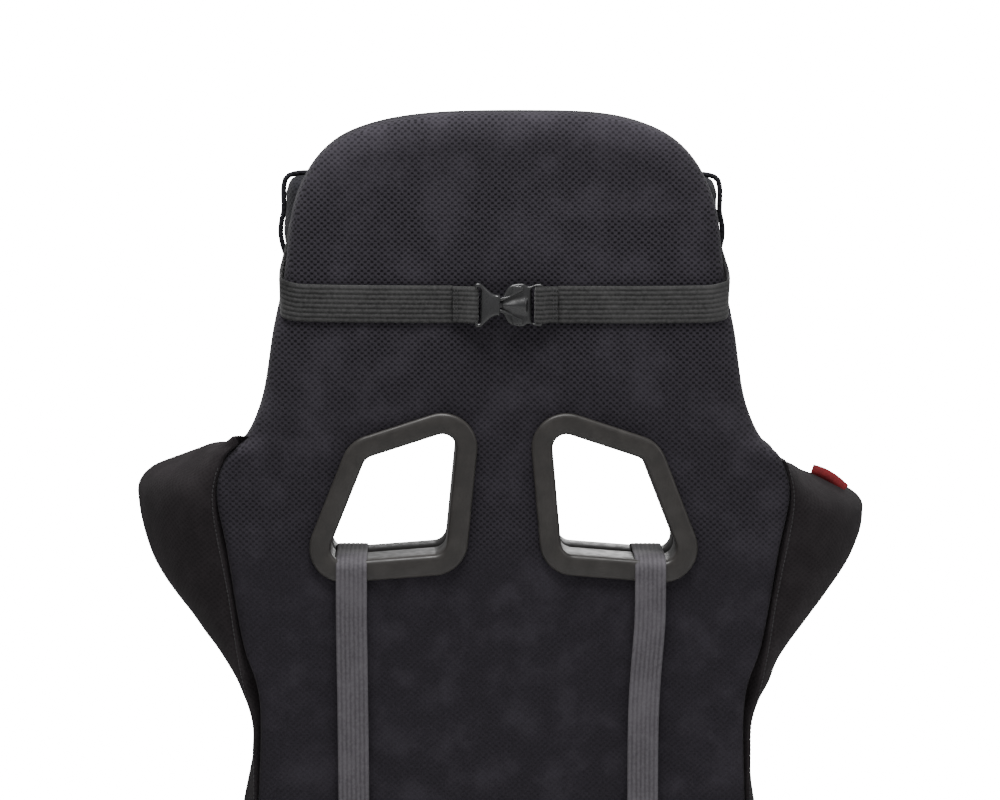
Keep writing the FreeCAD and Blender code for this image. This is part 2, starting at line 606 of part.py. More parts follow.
def harness_bezels():
    """Plastic surround of each harness opening: a rear and a front half that meet in the foam."""
    middle = "(Dims.skin_rear + Dims.foam_front) / 2"
    flange_growth = "Dims.open_round + Dims.bezel_flange"
    wall_growth = "Dims.open_round + Dims.bezel_wall"
    for name, side in SIDES:
        halves = {
            "rear": (("Dims.skin_rear - Dims.bezel_thick", D["skin_rear"]), (D["skin_rear"], middle)),
            "front": ((D["foam_front"], "Dims.foam_front + Dims.bezel_thick"), (middle, D["foam_front"]))}
        for half, (flange, wall) in halves.items():
            label = f"bezel_{half}_{name}"
            rim = opening_block(f"{label}_rim", side, *flange, flange_growth)
            sleeve = opening_block(f"{label}_sleeve", side, *wall, wall_growth)
            hole = opening_block(f"{label}_hole", side, "Dims.skin_rear - 10", "Dims.foam_front + 10",
                                 D["open_round"])
            node(label, cut(label, fuse(f"{label}_body", rim, sleeve), hole), leaning=True)


def upper_plates():
    """Swinging halves of the recliner, with a toothed sector below the hinge, and their bolts."""
    bolts = []
    for name, side in SIDES:
        inner, outer = D["plate_x"], "Dims.plate_x + Dims.plate_thick"
        disc = rod_across(f"sector_disc_{name}", side, inner, outer, 0, 0, D["sector_r"])
        arm = block(f"plate_arm_{name}", spread(side, inner, outer), (-26, 14), (0, D["boss_high"]))
        through = (f"{inner} - 1", f"{outer} + 1")
        tools = [rod_across(f"plate_bore_{name}", side, *through, 0, 0, "Dims.pin_r + Dims.pin_play")]
        for count in range(-2, 8):
            notch = block(f"notch_{name}_{count}", spread(side, *through),
                          ("-Dims.notch_half", D["notch_half"]),
                          ("-Dims.sector_r - 1", "-Dims.sector_r + Dims.tooth_deep"))
            angle = -value(D["recline"]) - count * value(D["notch_pitch"])
            turn = FreeCAD.Rotation(Vector(1, 0, 0), angle)
            ring = doc.addObject("Part::Compound", f"turned_notch_{name}_{count}")
            ring.Links = [notch]
            ring.Placement = FreeCAD.Placement(Vector(), turn)
            tools.append(ring)
        for place, z in (("low", 45), ("high", 65)):
            middle = D["loop_y"]
            tools.append(rod_across(f"upper_hole_{place}_{name}", side, *through, middle, z, 3.1))
            shank = rod_across(f"upper_shank_{place}_{name}", side, inner, outer, middle, z, 3)
            head = rod_across(f"upper_head_{place}_{name}", side, outer, f"{outer} + 4", middle, z, 5)
            bolts.append(fuse(f"upper_bolt_{place}_{name}", shank, head))
        plate = fuse(f"upper_weld_{name}", disc, arm)
        node(f"recliner_upper_plate_{name}", cut(f"upper_plate_{name}", plate, *tools), leaning=True)
    node("backrest_bolts", *bolts, leaning=True)


# ------------------------------------------------------------------ pillow, straps, buckle

def head_pillow():
    """Pillow in front of the head, and the elastic strap that goes round behind it."""
    body = cushion("head_pillow_body", ("-Dims.pillow_half", D["pillow_half"]),
                   (D["pillow_rear"], D["pillow_front"]), (D["pillow_low"], D["pillow_high"]),
                   D["pillow_round"])
    node("head_pillow", body, leaning=True)
    rear = ("Dims.skin_rear - Dims.gap - Dims.strap_thick", "Dims.skin_rear - Dims.gap")
    low, high = "Dims.strap_z - Dims.strap_wide / 2", "Dims.strap_z + Dims.strap_wide / 2"
    tab_low, tab_high = f"{low} + Dims.strap_lift", f"{high} + Dims.strap_lift"
    edge = "Dims.strap_edge_x + Dims.strap_thick"
    for name, side in SIDES:
        run = block(f"strap_run_{name}", spread(side, D["loop_far_x"], edge), rear, (low, high))
        side_face = [(rear[0], low), (D["strap_tab_y"], tab_low), (D["strap_tab_y"], tab_high),
                     (rear[0], high)]
        cheek = side_view(f"strap_cheek_{name}", side, side_face, D["strap_edge_x"], D["strap_thick"])
        tab = block(f"strap_tab_{name}", spread(side, "Dims.pillow_half - 2", edge),
                    ("Dims.strap_tab_y - Dims.strap_thick", D["strap_tab_y"]), (tab_low, tab_high))
        node(f"head_strap_{name}", fuse(f"strap_weld_{name}", run, cheek, tab), leaning=True)


def strap_end(name, side, bar_inner, bar_outer):
    """Strap end folded round a buckle's end bar and sewn back on itself."""
    tall = ("Dims.strap_z - Dims.strap_wide / 2 + 0.5", "Dims.strap_z + Dims.strap_wide / 2 - 0.5")
    more = ("Dims.strap_z - Dims.strap_wide", "Dims.strap_z + Dims.strap_wide")
    folded = spread(side, bar_outer + 3, "Dims.loop_far_x - 0.4")
    round_bar = spread(side, bar_inner - 1.8, bar_outer + 3.5)
    inside = spread(side, bar_inner - 0.2, bar_outer + 0.4)
    sewn = block(f"sewn_fold_{name}", folded, (-38.4, -34.8), tall)
    turn = block(f"strap_turn_{name}", round_bar, (-44.6, -35.4), tall)
    window = block(f"strap_window_{name}", inside, (-42.9, -37.1), more)
    loop = cut(f"strap_turn_{name}", turn, window)
    node(f"strap_end_{name}", fuse(f"strap_fold_{name}", loop, sewn), leaning=True)


def side_release_buckle():
    """Male half on the left, female shell on the right, their prongs and the sewn strap ends."""
    z = D["strap_z"]
    deep = (-45, -36)
    frame = block("male_frame", (-24, -4.5), deep, (f"{z} - 17", f"{z} + 17"))
    slot = block("male_slot", (-20, -13.5), (-46, -35), (f"{z} - 15", f"{z} + 15"))
    thinned = [block(f"male_thin_{place}", (-25, -20), y, (f"{z} - 15", f"{z} + 15"))
               for place, y in (("rear", (-46, -42.6)), ("front", (-37.4, -35)))]
    waist_top = block("male_waist_top", (-9, -4), (-46, -35), (f"{z} + 11", f"{z} + 18"))
    waist_low = block("male_waist_low", (-9, -4), (-46, -35), (f"{z} - 18", f"{z} - 11"))
    tongue = block("male_tongue", (-6, 18), (-42, -39), (f"{z} - 3", f"{z} + 3"))
    holder = cut("male_frame", frame, slot, waist_top, waist_low, *thinned)
    node("buckle_male", fuse("male_weld", holder, tongue), leaning=True)
    arms = []
    for name, way in (("top", 1), ("low", -1)):
        low, high = sorted((way * 7.0, way * 10.0))
        arm = block(f"prong_arm_{name}", (-4.5, 12), (-42, -39), (f"{z} + {low}", f"{z} + {high}"))
        low, high = sorted((way * 8.0, way * 15.6))
        tip = block(f"prong_tip_{name}", (6, 14), (-42.5, -38.5), (f"{z} + {low}", f"{z} + {high}"))
        arms.append(fuse(f"prong_{name}", arm, tip))
    node("buckle_prongs", *arms, leaning=True)
    shell = block("female_shell", (-3.8, 22), deep, (f"{z} - 15", f"{z} + 15"))
    hollow = block("female_hollow", (-5, 19), (-43, -38), (f"{z} - 11.5", f"{z} + 11.5"))
    window = block("female_window", (4, 17), (-43, -38), (f"{z} - 19", f"{z} + 19"))
    bail = block("female_bail", (20, 32), (-42.6, -37.4), (f"{z} - 17", f"{z} + 17"))
    bail_slot = block("female_slot", (23.5, 28.5), (-46, -35), (f"{z} - 15", f"{z} + 15"))
    whole = fuse("female_weld", shell, bail)
    node("buckle_female", cut("buckle_female", whole, hollow, window, bail_slot), leaning=True)
    strap_end("left", -1, 20, 24)
    strap_end("right", 1, 28.5, 32)


def lumbar_support():
    """Lumbar cushion on two elastic bands that go over the openings' sills and under the backrest."""
    body = cushion("lumbar_body", ("-Dims.lumbar_half", D["lumbar_half"]),
                   (D["lumbar_rear"], D["lumbar_front"]), (D["lumbar_low"], D["lumbar_high"]),
                   D["lumbar_round"])
    node("lumbar_cushion", body, leaning=True)
    for name, side in SIDES:
        across = spread(side, "Dims.band_x - Dims.band_wide / 2", "Dims.band_x + Dims.band_wide / 2")
        wide = spread(side, "Dims.band_x - Dims.band_wide", "Dims.band_x + Dims.band_wide")
        outer = block(f"band_outer_{name}", across, (D["band_rear"], D["band_front"]),
                      (D["band_low"], D["band_top"]))
        inner = block(f"band_inner_{name}", wide,
                      ("Dims.band_rear + Dims.strap_thick", "Dims.band_front - Dims.strap_thick"),
                      ("Dims.band_low + Dims.strap_thick", "Dims.band_top - Dims.strap_thick"))
        node(f"lumbar_strap_{name}", cut(f"lumbar_strap_{name}", outer, inner), leaning=True)
        whole = spread(side, "Dims.band_x - Dims.slider_wide / 2", "Dims.band_x + Dims.slider_wide / 2")
        frame = block(f"slider_frame_{name}", whole,
                      ("Dims.band_rear - 2", "Dims.band_rear - 2 + Dims.slider_deep"),
                      (D["slider_z"], "Dims.slider_z + Dims.slider_tall"))
        window = spread(side, "Dims.band_x - 13", "Dims.band_x + 13")
        slots = [block(f"slider_slot_{name}_{place}", window, ("Dims.band_rear - 3", "Dims.band_rear + 4"),
                       (f"Dims.slider_z + {low}", f"Dims.slider_z + {low + 8}"))
                 for place, low in enumerate((4, 18))]
        channel = block(f"slider_channel_{name}", window,
                        (D["band_rear"], "Dims.band_rear + Dims.strap_thick"),
                        ("Dims.slider_z - 1", "Dims.slider_z + Dims.slider_tall + 1"))
        node(f"strap_slider_{name}", cut(f"strap_slider_{name}", frame, *slots, channel), leaning=True)


def side_tag():
    """Small folded cloth tag sewn into the top seam of the right wing."""
    tag = block("tag_cloth", (0, 28), (-1, 1), (0, 18))
    turned = doc.addObject("Part::Compound", "tag_turned")
    turned.Links = [tag]
    turned.Placement = FreeCAD.Placement(Vector(273, 50, 453), FreeCAD.Rotation(Vector(0, 0, 1), 56))
    node("side_tag", turned, leaning=True)


def write_parts():
    """Check every object, then write each sub-part to its own file."""
    doc.recompute()
    for item in doc.Objects:
        bad = [state for state in item.State if state in ("Invalid", "Error")]
        if bad:
            raise RuntimeError(f"{item.Label}: {bad}")
    os.makedirs("parts", exist_ok=True)
    for item in nodes:
        if item.Shape.isNull() or not item.Shape.isValid() or item.Shape.Volume <= 0:
            raise RuntimeError(f"{item.Label}: null or invalid shape")
        item.Shape.exportStep(f"parts/{item.Label}.step")
        box = item.Shape.BoundBox
        print(f"{item.Label:28s} solids {len(item.Shape.Solids)} volume {item.Shape.Volume / 1000:9.1f} cm3"
              f"  x {box.XMin:7.1f} {box.XMax:7.1f}  y {box.YMin:7.1f} {box.YMax:7.1f}"
              f"  z {box.ZMin:7.1f} {box.ZMax:7.1f}")
    print(len(nodes), "nodes")


floor_slides()
base_frame()
seat_cushions()
lower_plates()
recliner_covers()
springs()
release_bar()
release_shaft()
backrest_shell()
backrest_frame()
harness_bezels()
upper_plates()
head_pillow()
side_release_buckle()
lumbar_support()
side_tag()
write_parts()
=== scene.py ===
"""Looks of the reclining racing seat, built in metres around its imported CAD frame.

Back pieces are drawn in the backrest's own frame in millimetres: x across, d forward of the
hinge line's plane and h up from the hinge. BACK turns that into the row frame in metres.
"""

import json
import math

import bmesh
import bpy
import numpy as np
from mathutils import Matrix, Vector, noise
from mathutils.geometry import delaunay_2d_cdt


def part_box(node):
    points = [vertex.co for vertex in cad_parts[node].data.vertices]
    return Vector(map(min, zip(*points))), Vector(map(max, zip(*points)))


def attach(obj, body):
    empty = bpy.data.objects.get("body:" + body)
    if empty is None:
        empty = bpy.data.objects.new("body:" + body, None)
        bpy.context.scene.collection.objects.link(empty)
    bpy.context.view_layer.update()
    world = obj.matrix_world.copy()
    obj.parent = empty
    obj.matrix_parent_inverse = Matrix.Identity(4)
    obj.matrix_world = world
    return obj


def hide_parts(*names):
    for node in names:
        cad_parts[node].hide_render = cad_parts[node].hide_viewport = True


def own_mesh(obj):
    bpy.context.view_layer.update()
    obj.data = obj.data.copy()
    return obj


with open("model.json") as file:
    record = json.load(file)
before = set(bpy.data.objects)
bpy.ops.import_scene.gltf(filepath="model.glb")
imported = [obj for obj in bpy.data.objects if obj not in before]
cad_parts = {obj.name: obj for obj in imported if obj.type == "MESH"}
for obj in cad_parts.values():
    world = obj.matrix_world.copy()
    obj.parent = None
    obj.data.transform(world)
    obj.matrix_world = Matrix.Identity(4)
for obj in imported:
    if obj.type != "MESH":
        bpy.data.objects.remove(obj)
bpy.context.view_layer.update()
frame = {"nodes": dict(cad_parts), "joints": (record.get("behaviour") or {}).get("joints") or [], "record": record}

MM = 0.001
LEAN = math.radians(12)
SIDES = (("left", -1), ("right", 1))
hinge = next(joint for joint in frame["joints"] if joint["name"] == "recline")["pos_m"]
BACK = (Matrix.Translation(Vector(hinge)) @ Matrix.Rotation(LEAN, 4, "X") @ Matrix.Scale(MM, 4))
ROW = Matrix.Scale(MM, 4)


# ---------------------------------------------------------------------------- curves

def between(t, low, high, first, last):
    """The value at t on a straight run from first at low to last at high."""
    return (first * (high - t) + last * (t - low)) / (high - low)


def smooth_line(points, spacing, closed=False):
    """Points about a spacing apart on a smooth curve through a few given ones."""
    known = [np.array(p, float) for p in points]
    count = len(known)
    if closed:
        known = [known[-1]] + known + [known[0], known[1]]
    else:
        known = [2 * known[0] - known[1]] + known + [2 * known[-1] - known[-2]]
        count -= 1
    line = []
    for i in range(count):
        a, b, c, d = known[i:i + 4]
        knots = [0.0]
        for low, high in ((a, b), (b, c), (c, d)):
            knots.append(knots[-1] + max(1e-6, np.linalg.norm(high - low)) ** 0.5)
        steps = max(2, int(np.linalg.norm(c - b) / spacing * 3))
        for t in np.linspace(knots[1], knots[2], steps, endpoint=False):
            rows = [between(t, knots[k], knots[k + 1], p, q)
                    for k, (p, q) in enumerate(((a, b), (b, c), (c, d)))]
            left = between(t, knots[0], knots[2], rows[0], rows[1])
            right = between(t, knots[1], knots[3], rows[1], rows[2])
            line.append(between(t, knots[1], knots[2], left, right))
    if not closed:
        line.append(known[-2])
    return even_line(np.array(line), spacing, closed)


def even_line(line, spacing, closed=False):
    """The same line with its points an even distance apart."""
    line = np.asarray(line, float)
    if closed:
        line = np.vstack([line, line[:1]])
    steps = np.linalg.norm(np.diff(line, axis=0), axis=1)
    along = np.concatenate([[0], np.cumsum(steps)])
    count = max(3, int(round(along[-1] / spacing)))
    wanted = np.linspace(0, along[-1], count + 1)
    result = np.stack([np.interp(wanted, along, line[:, k]) for k in range(line.shape[1])], axis=1)
    return result[:-1] if closed else result


def smooth(low, high, value):
    """0 below low, 1 above high, and a smooth rise between."""
    t = np.clip((value - low) / (high - low), 0, 1)
    return t * t * (3 - 2 * t)


def table_line(stations, column):
    """A smooth function of height through one column of some stations."""
    heights = np.array([row[0] for row in stations], float)
    values = np.array([row[column] for row in stations], float)
    slopes = np.gradient(values, heights)

    def at(h):
        h = np.clip(h, heights[0], heights[-1])
        i = np.clip(np.searchsorted(heights, h) - 1, 0, len(heights) - 2)
        gap = heights[i + 1] - heights[i]
        t = (h - heights[i]) / gap
        a, b = values[i], values[i + 1]
        return ((2 * t ** 3 - 3 * t ** 2 + 1) * a + (t ** 3 - 2 * t ** 2 + t) * gap * slopes[i]
                + (3 * t ** 2 - 2 * t ** 3) * b + (t ** 3 - t ** 2) * gap * slopes[i + 1])
    return at


def distance_to(points, ring):
    """Distance of each point from a closed ring."""
    best = np.full(len(points), 1e9)
    for a, b in zip(ring, np.roll(ring, -1, axis=0)):
        run = b - a
        t = np.clip(((points - a) @ run) / max(1e-9, run @ run), 0, 1)
        gap = points - (a + t[:, None] * run)
        best = np.minimum(best, np.hypot(gap[:, 0], gap[:, 1]))
    return best


def inside(points, ring):
    """Whether each point lies inside a closed ring."""
    hit = np.zeros(len(points), bool)
    x, y = points[:, 0], points[:, 1]
    for a, b in zip(ring, np.roll(ring, -1, axis=0)):
        if a[1] == b[1]:
            continue
        crosses = (a[1] > y) != (b[1] > y)
        hit ^= crosses & (x < (b[0] - a[0]) * (y - a[1]) / (b[1] - a[1]) + a[0])
    return hit


def outward(ring):
    """Unit normals that point out of a closed ring of either direction."""
    ahead = np.roll(ring, -1, axis=0) - np.roll(ring, 1, axis=0)
    normal = np.stack([ahead[:, 1], -ahead[:, 0]], axis=1)
    normal /= np.maximum(1e-9, np.linalg.norm(normal, axis=1))[:, None]
    nxt = np.roll(ring, -1, axis=0)
    area = np.sum(ring[:, 0] * nxt[:, 1] - nxt[:, 0] * ring[:, 1])
    return normal if area > 0 else -normal


def rumple(x, h, size, seed):
    """Smooth unevenness of cloth, about -1 to 1, over arrays of places."""
    return np.array([noise.noise(Vector((a / size, b / size, seed))) for a, b in zip(x, h)])


# ---------------------------------------------------------------------------- meshes

def finish_mesh(name, verts, faces, place, weave=None):
    """A smooth mesh object from points in a place's own frame, with cloth coordinates in metres."""
    mesh = bpy.data.meshes.new(name)
    mesh.from_pydata([tuple(v) for v in verts], [], faces)
    mesh.update()
    work = bmesh.new()
    work.from_mesh(mesh)
    bmesh.ops.recalc_face_normals(work, faces=work.faces)
    work.to_mesh(mesh)
    work.free()
    lay_cloth(mesh, weave)
    mesh.transform(place)
    mesh.polygons.foreach_set("use_smooth", [True] * len(mesh.polygons))
    mesh.update()
    piece = bpy.data.objects.new(name, mesh)
    bpy.context.scene.collection.objects.link(piece)
    return piece


def lay_cloth(mesh, weave=None):
    """Store where each face corner lies in its cloth, in metres, and how strong the weave shows; on elastic straps
    this third value is the rib crest, which their material paints lighter as a painted highlight.
    """
    spots = np.zeros(len(mesh.vertices) * 3)
    mesh.vertices.foreach_get("co", spots)
    spots = spots.reshape(-1, 3)
    strength = np.ones(len(spots)) if weave is None else weave(spots)
    cloth = mesh.attributes.get("cloth") or mesh.attributes.new("cloth", "FLOAT_VECTOR", "CORNER")
    corners = np.zeros((len(mesh.loops), 3))
    for face in mesh.polygons:
        nx, ny, nz = (abs(c) for c in face.normal)
        if ny >= nx and ny >= nz:
            axes = (0, 2)
        elif nx >= nz:
            axes = (1, 2)
        else:
            axes = (0, 1)
        for k in face.loop_indices:
            v = mesh.loops[k].vertex_index
            corners[k] = (spots[v, axes[0]] * MM, spots[v, axes[1]] * MM, strength[v])
    cloth.data.foreach_set("vector", corners.ravel())


def sheet_pad(name, outer, holes, rear, front, step, rings, wall=((0.5, 0),), place=BACK, weave=None):
    """A closed pad from its outline, with holes. rear and front give its two depths from
    (x, h, distance from the outline, distance from the holes); wall rows are (share, bulge)."""
    borders = [np.asarray(outer, float)] + [np.asarray(hole, float) for hole in holes]
    points = [p for ring in borders for p in ring]
    edges = []
    start = 0
    for ring in borders:
        edges += [(start + i, start + (i + 1) % len(ring)) for i in range(len(ring))]
        start += len(ring)
    extra = []
    for number, ring in enumerate(borders):
        normal = outward(ring) * (-1 if number == 0 else 1)
        for offset in rings:
            moved = ring + normal * offset
            clear = np.min([distance_to(moved, other) for other in borders], axis=0)
            extra.append(moved[clear > offset * 0.93])
    low, high = borders[0].min(axis=0), borders[0].max(axis=0)
    grid = []
    for row, y in enumerate(np.arange(low[1], high[1], step * 0.866)):
        grid += [(x + (row % 2) * step / 2, y) for x in np.arange(low[0], high[0], step)]
    grid = np.array(grid)
    clear = np.min([distance_to(grid, other) for other in borders], axis=0)
    extra.append(grid[clear > (max(rings) if len(rings) else 0) + step * 0.55])
    extra = np.vstack([e for e in extra if len(e)])
    keep = inside(extra, borders[0])
    for hole in borders[1:]:
        keep &= ~inside(extra, hole)
    points = np.vstack([points, extra[keep]])
    found = delaunay_2d_cdt([Vector(p) for p in points], edges, [], 0, 1e-6)
    flat = np.array([tuple(p) for p in found[0]])
    middles = np.array([flat[list(face)].mean(axis=0) for face in found[2]])
    good = inside(middles, borders[0])
    for hole in borders[1:]:
        good &= ~inside(middles, hole)
    triangles = []
    for face, wanted in zip(found[2], good):
        if wanted:
            a, b, c = flat[list(face)][:3]
            turn = (b[0] - a[0]) * (c[1] - a[1]) - (b[1] - a[1]) * (c[0] - a[0])
            triangles.append(tuple(face) if turn > 0 else tuple(reversed(face)))
    out = distance_to(flat, borders[0])
    hol = np.min([distance_to(flat, h) for h in borders[1:]], axis=0) if holes else np.full(len(flat), 1e3)
    back = rear(flat[:, 0], flat[:, 1], out, hol)
    fore = front(flat[:, 0], flat[:, 1], out, hol)
    count = len(flat)
    verts = [(x, d, h) for (x, h), d in zip(flat, back)]
    verts += [(x, d, h) for (x, h), d in zip(flat, fore)]
    faces = list(triangles) + [tuple(i + count for i in reversed(face)) for face in triangles]
    seen = {}
    for face in triangles:
        for a, b in zip(face, face[1:] + face[:1]):
            seen[(a, b)] = True
    rim = [(a, b) for a, b in seen if (b, a) not in seen]
    normals = {}
    for a, b in rim:
        run = flat[b] - flat[a]
        side = np.array([run[1], -run[0]]) / max(1e-9, np.linalg.norm(run))
        normals[a] = normals.get(a, 0) + side
        normals[b] = normals.get(b, 0) + side
    levels = {v: [v] for v in normals}
    for share, bulge in wall:
        for v in normals:
            n = normals[v] / max(1e-9, np.linalg.norm(normals[v]))
            spot = flat[v] + n * bulge
            levels[v].append(len(verts))
            verts.append((spot[0], back[v] + (fore[v] - back[v]) * share, spot[1]))
    for v in normals:
        levels[v].append(v + count)
    for a, b in rim:
        for k in range(len(levels[a]) - 1):
            faces.append((levels[b][k], levels[a][k], levels[a][k + 1], levels[b][k + 1]))
    return finish_mesh(name, verts, faces, place, weave)


def ring_faces(rings, closed):
    """Faces between each ring of points and the next, and back to the first one if closed."""
    count = len(rings[0])
    faces = []
    for s in range(len(rings) - (0 if closed else 1)):
        t = (s + 1) % len(rings)
        for i in range(count):
            j = (i + 1) % count
            faces.append((s * count + i, s * count + j, t * count + j, t * count + i))
    return faces


def hoop(name, rings, place, weave=None):
    """A skin through equal rings of points that runs round to the first ring again."""
    return finish_mesh(name, [p for ring in rings for p in ring], ring_faces(rings, True), place, weave)


def loft(name, sections, place, weave=None):
    """A closed skin through equal rings of points, capped at both ends."""
    count = len(sections[0])
    verts = [p for ring in sections for p in ring]
    faces = ring_faces(sections, False)
    for ring, first in ((sections[0], 0), (sections[-1], (len(sections) - 1) * count)):
        middle = np.mean(np.array(ring), axis=0)
        verts.append(tuple(middle))
        for i in range(count):
            j = (i + 1) % count
            faces.append((first + i, first + j, len(verts) - 1))
    return finish_mesh(name, verts, faces, place, weave)


def sweep(name, path, profile, across, place, closed=False, weave=None):
    """A profile of (along across, along the other normal) pairs carried along a path."""
    path = np.asarray(path, float)
    rings = []
    for i, spot in enumerate(path):
        if closed:
            ahead = path[(i + 1) % len(path)] - path[i - 1]
        else:
            ahead = path[min(i + 1, len(path) - 1)] - path[max(i - 1, 0)]
        ahead /= np.linalg.norm(ahead)
        side = across(i) if callable(across) else np.array(across, float)
        side = side - ahead * (side @ ahead)
        side /= np.linalg.norm(side)
        up = np.cross(ahead, side)
        rings.append([tuple(spot + side * a + up * b) for a, b in profile])
    return (hoop if closed else loft)(name, rings, place, weave)


def joined(name, parts):
    """Several mesh objects made into one."""
    bpy.ops.object.select_all(action="DESELECT")
    for part in parts:
        part.select_set(True)
    bpy.context.view_layer.objects.active = parts[0]
    bpy.ops.object.join()
    whole = bpy.context.view_layer.objects.active
    whole.name = name
    return whole


# Rings of one stitch: place along it, thickness, height above the cloth.
STITCH_RINGS = ((-1, 0.35, -0.5), (-0.8, 0.85, 0.1), (0, 1, 0.35), (0.8, 0.85, 0.1), (1, 0.35, -0.5))


def stitches(name, path, pitch, place, gauge=0.45, normal=(0, -1, 0)):
    """A row of short thread stitches lying along a path."""
    path = even_line(path, pitch)
    verts = []
    faces = []
    up = np.array(normal, float)
    for a, b in zip(path, path[1:]):
        run = (b - a) * 0.36
        middle = (a + b) / 2
        length = np.linalg.norm(run)
        ahead = run / length
        side = np.cross(ahead, up)
        side /= np.linalg.norm(side)
        over = np.cross(side, ahead)
        first = len(verts)
        for t, r, lift in STITCH_RINGS:
            for k in range(6):
                angle = k * math.pi / 3
                spot = (middle + run * t + side * gauge * r * math.cos(angle)
                        + over * (gauge * r * math.sin(angle) + gauge * lift))
                verts.append(tuple(spot))
        for ring in range(4):
            for k in range(6):
                p, q = first + ring * 6 + k, first + ring * 6 + (k + 1) % 6
                faces.append((p, q, q + 6, p + 6))
        faces.append(tuple(first + k for k in range(6)))
        faces.append(tuple(first + 24 + k for k in reversed(range(6))))
    return finish_mesh(name, verts, faces, place)


# ------------------------------------------------------------------------- materials

class Nodes:
    """Short names for building a material's node tree."""

    def __init__(self, name):
        self.made = bpy.data.materials.new(name)
        self.made.use_nodes = True
        self.tree = self.made.node_tree
        self.shader = self.tree.nodes["Principled BSDF"]

    def add(self, kind, **settings):
        node = self.tree.nodes.new("ShaderNode" + kind)
        for key, number in settings.items():
            setattr(node, key, number)
        return node

    def plug(self, source, target):
        if hasattr(source, "is_output"):
            self.tree.links.new(source, target)
        else:
            target.default_value = source

    def math(self, kind, a, b=0.0, c=0.0):
        node = self.add("Math", operation=kind)
        for socket, item in zip(node.inputs, (a, b, c)):
            self.plug(item, socket)
        return node.outputs[0]

    def times(self, a, b):
        return self.math("MULTIPLY", a, b)

    def plus(self, a, b):
        return self.math("ADD", a, b)

    def minus(self, a, b):
        return self.math("SUBTRACT", a, b)

    def ramp(self, value, low, high, from_low=0.0, from_high=1.0):
        node = self.add("MapRange", interpolation_type="SMOOTHSTEP")
        for socket, item in zip(node.inputs, (value, from_low, from_high, low, high)):
            self.plug(item, socket)
        return node.outputs[0]

    def mix(self, share, a, b):
        node = self.add("Mix", data_type="RGBA")
        self.plug(share, node.inputs[0])
        for item, socket in ((a, node.inputs[6]), (b, node.inputs[7])):
            self.plug((*item, 1.0) if isinstance(item, tuple) and len(item) == 3 else item, socket)
        return node.outputs[2]

    def noise(self, scale, detail=3.0, vector=None, stretch=None):
        place = vector or self.add("TexCoord").outputs["Object"]
        if stretch:
            mapping = self.add("Mapping")
            self.plug(place, mapping.inputs[0])
            mapping.inputs["Scale"].default_value = stretch
            place = mapping.outputs[0]
        node = self.add("TexNoise")
        self.plug(place, node.inputs["Vector"])
        node.inputs["Scale"].default_value = scale
        node.inputs["Detail"].default_value = detail
        return node.outputs[0]

    def cloth(self):
        """The stored cloth coordinates: two in metres, and how strong the weave shows; on elastic straps the third
        is the rib crest, painted lighter as a painted highlight.
        """
        spot = self.add("Attribute", attribute_name="cloth").outputs["Vector"]
        split = self.add("SeparateXYZ")
        self.plug(spot, split.inputs[0])
        return split.outputs

    def wave(self, place, pitch):
        """A sine wave of a given pitch in metres along one coordinate."""
        return self.math("SINE", self.times(place, 2 * math.pi / pitch))

    def bump(self, height, depth, strength=1.0, below=None):
        node = self.add("Bump")
        node.inputs["Strength"].default_value = strength
        node.inputs["Distance"].default_value = depth
        self.plug(height, node.inputs["Height"])
        if below is not None:
            self.plug(below, node.inputs["Normal"])
        return node.outputs[0]

    def finish(self, colour, rough, normal=None, metallic=0.0, **uniform):
        self.plug(colour if not isinstance(colour, tuple) else (*colour, 1.0),
                  self.shader.inputs["Base Color"])
        self.plug(rough, self.shader.inputs["Roughness"])
        self.shader.inputs["Metallic"].default_value = metallic
        if normal is not None:
            self.plug(normal, self.shader.inputs["Normal"])
        for key, number in uniform.items():
            self.shader.inputs[key.replace("_", " ")].default_value = number
        return self.made


# Pitches in metres: the cloth's pits across and along, its threads, and the elastics' picks.
PIT_ACROSS, PIT_ALONG, THREAD, PICK = 0.0053, 0.00235, 0.0009, 0.0012


def woven_cloth(name, pit, ground, strength=1.0, fuzz=0.12):
    """Bird's-eye cloth: staggered dark pits on a lighter ground of fine diagonal threads."""
    n = Nodes(name)
    u, v, shown = n.cloth()
    wander = n.noise(260, 2.0)
    shift = n.times(n.minus(wander, 0.5), 1.5)
    across = n.math("COSINE", n.plus(n.times(u, 2 * math.pi / PIT_ACROSS), shift))
    along = n.math("COSINE", n.plus(n.times(v, math.pi / PIT_ALONG), shift))
    wide = n.math("POWER", n.plus(n.math("ABSOLUTE", across), 0.05), 0.4)
    flat = n.math("POWER", n.math("ABSOLUTE", along), 0.6)
    pits = n.times(across, along)
    pits = n.math("DIVIDE", n.times(pits, flat), wide)
    pits = n.times(pits, n.ramp(n.noise(210, 2.0), 0.7, 1.3, 0.3, 0.7))
    fine = n.times(n.wave(n.plus(u, v), THREAD), n.wave(n.minus(u, v), THREAD))
    raised = n.ramp(pits, 1.0, 0.0, -0.35, 0.8)
    shown = n.times(shown, strength)
    level = n.plus(0.48, n.times(n.minus(raised, 0.52), shown))
    mottle = n.noise(34, 4.0)
    lint = n.noise(900, 2.0)
    level = n.plus(level, n.times(n.minus(lint, 0.5), 0.65))
    cloth = n.mix(level, pit, ground)
    worn = tuple(min(1.0, c * 1.22 + 0.0015) for c in ground)
    share = n.ramp(mottle, 0.0, 0.55, 0.42, 0.72)
    cloth = n.mix(n.times(share, n.plus(0.4, n.times(level, 0.6))),
                  cloth, worn)
    height = n.plus(n.times(level, 1.0), n.times(fine, 0.16))
    relief = n.bump(height, 0.00045, 0.75)
    soft = n.bump(n.noise(22, 2.0), 0.0015, 0.35, relief)
    return n.finish(cloth, n.ramp(level, 0.95, 0.78), soft, Sheen_Weight=fuzz, Sheen_Roughness=0.45,
                    Specular_IOR_Level=0.08)


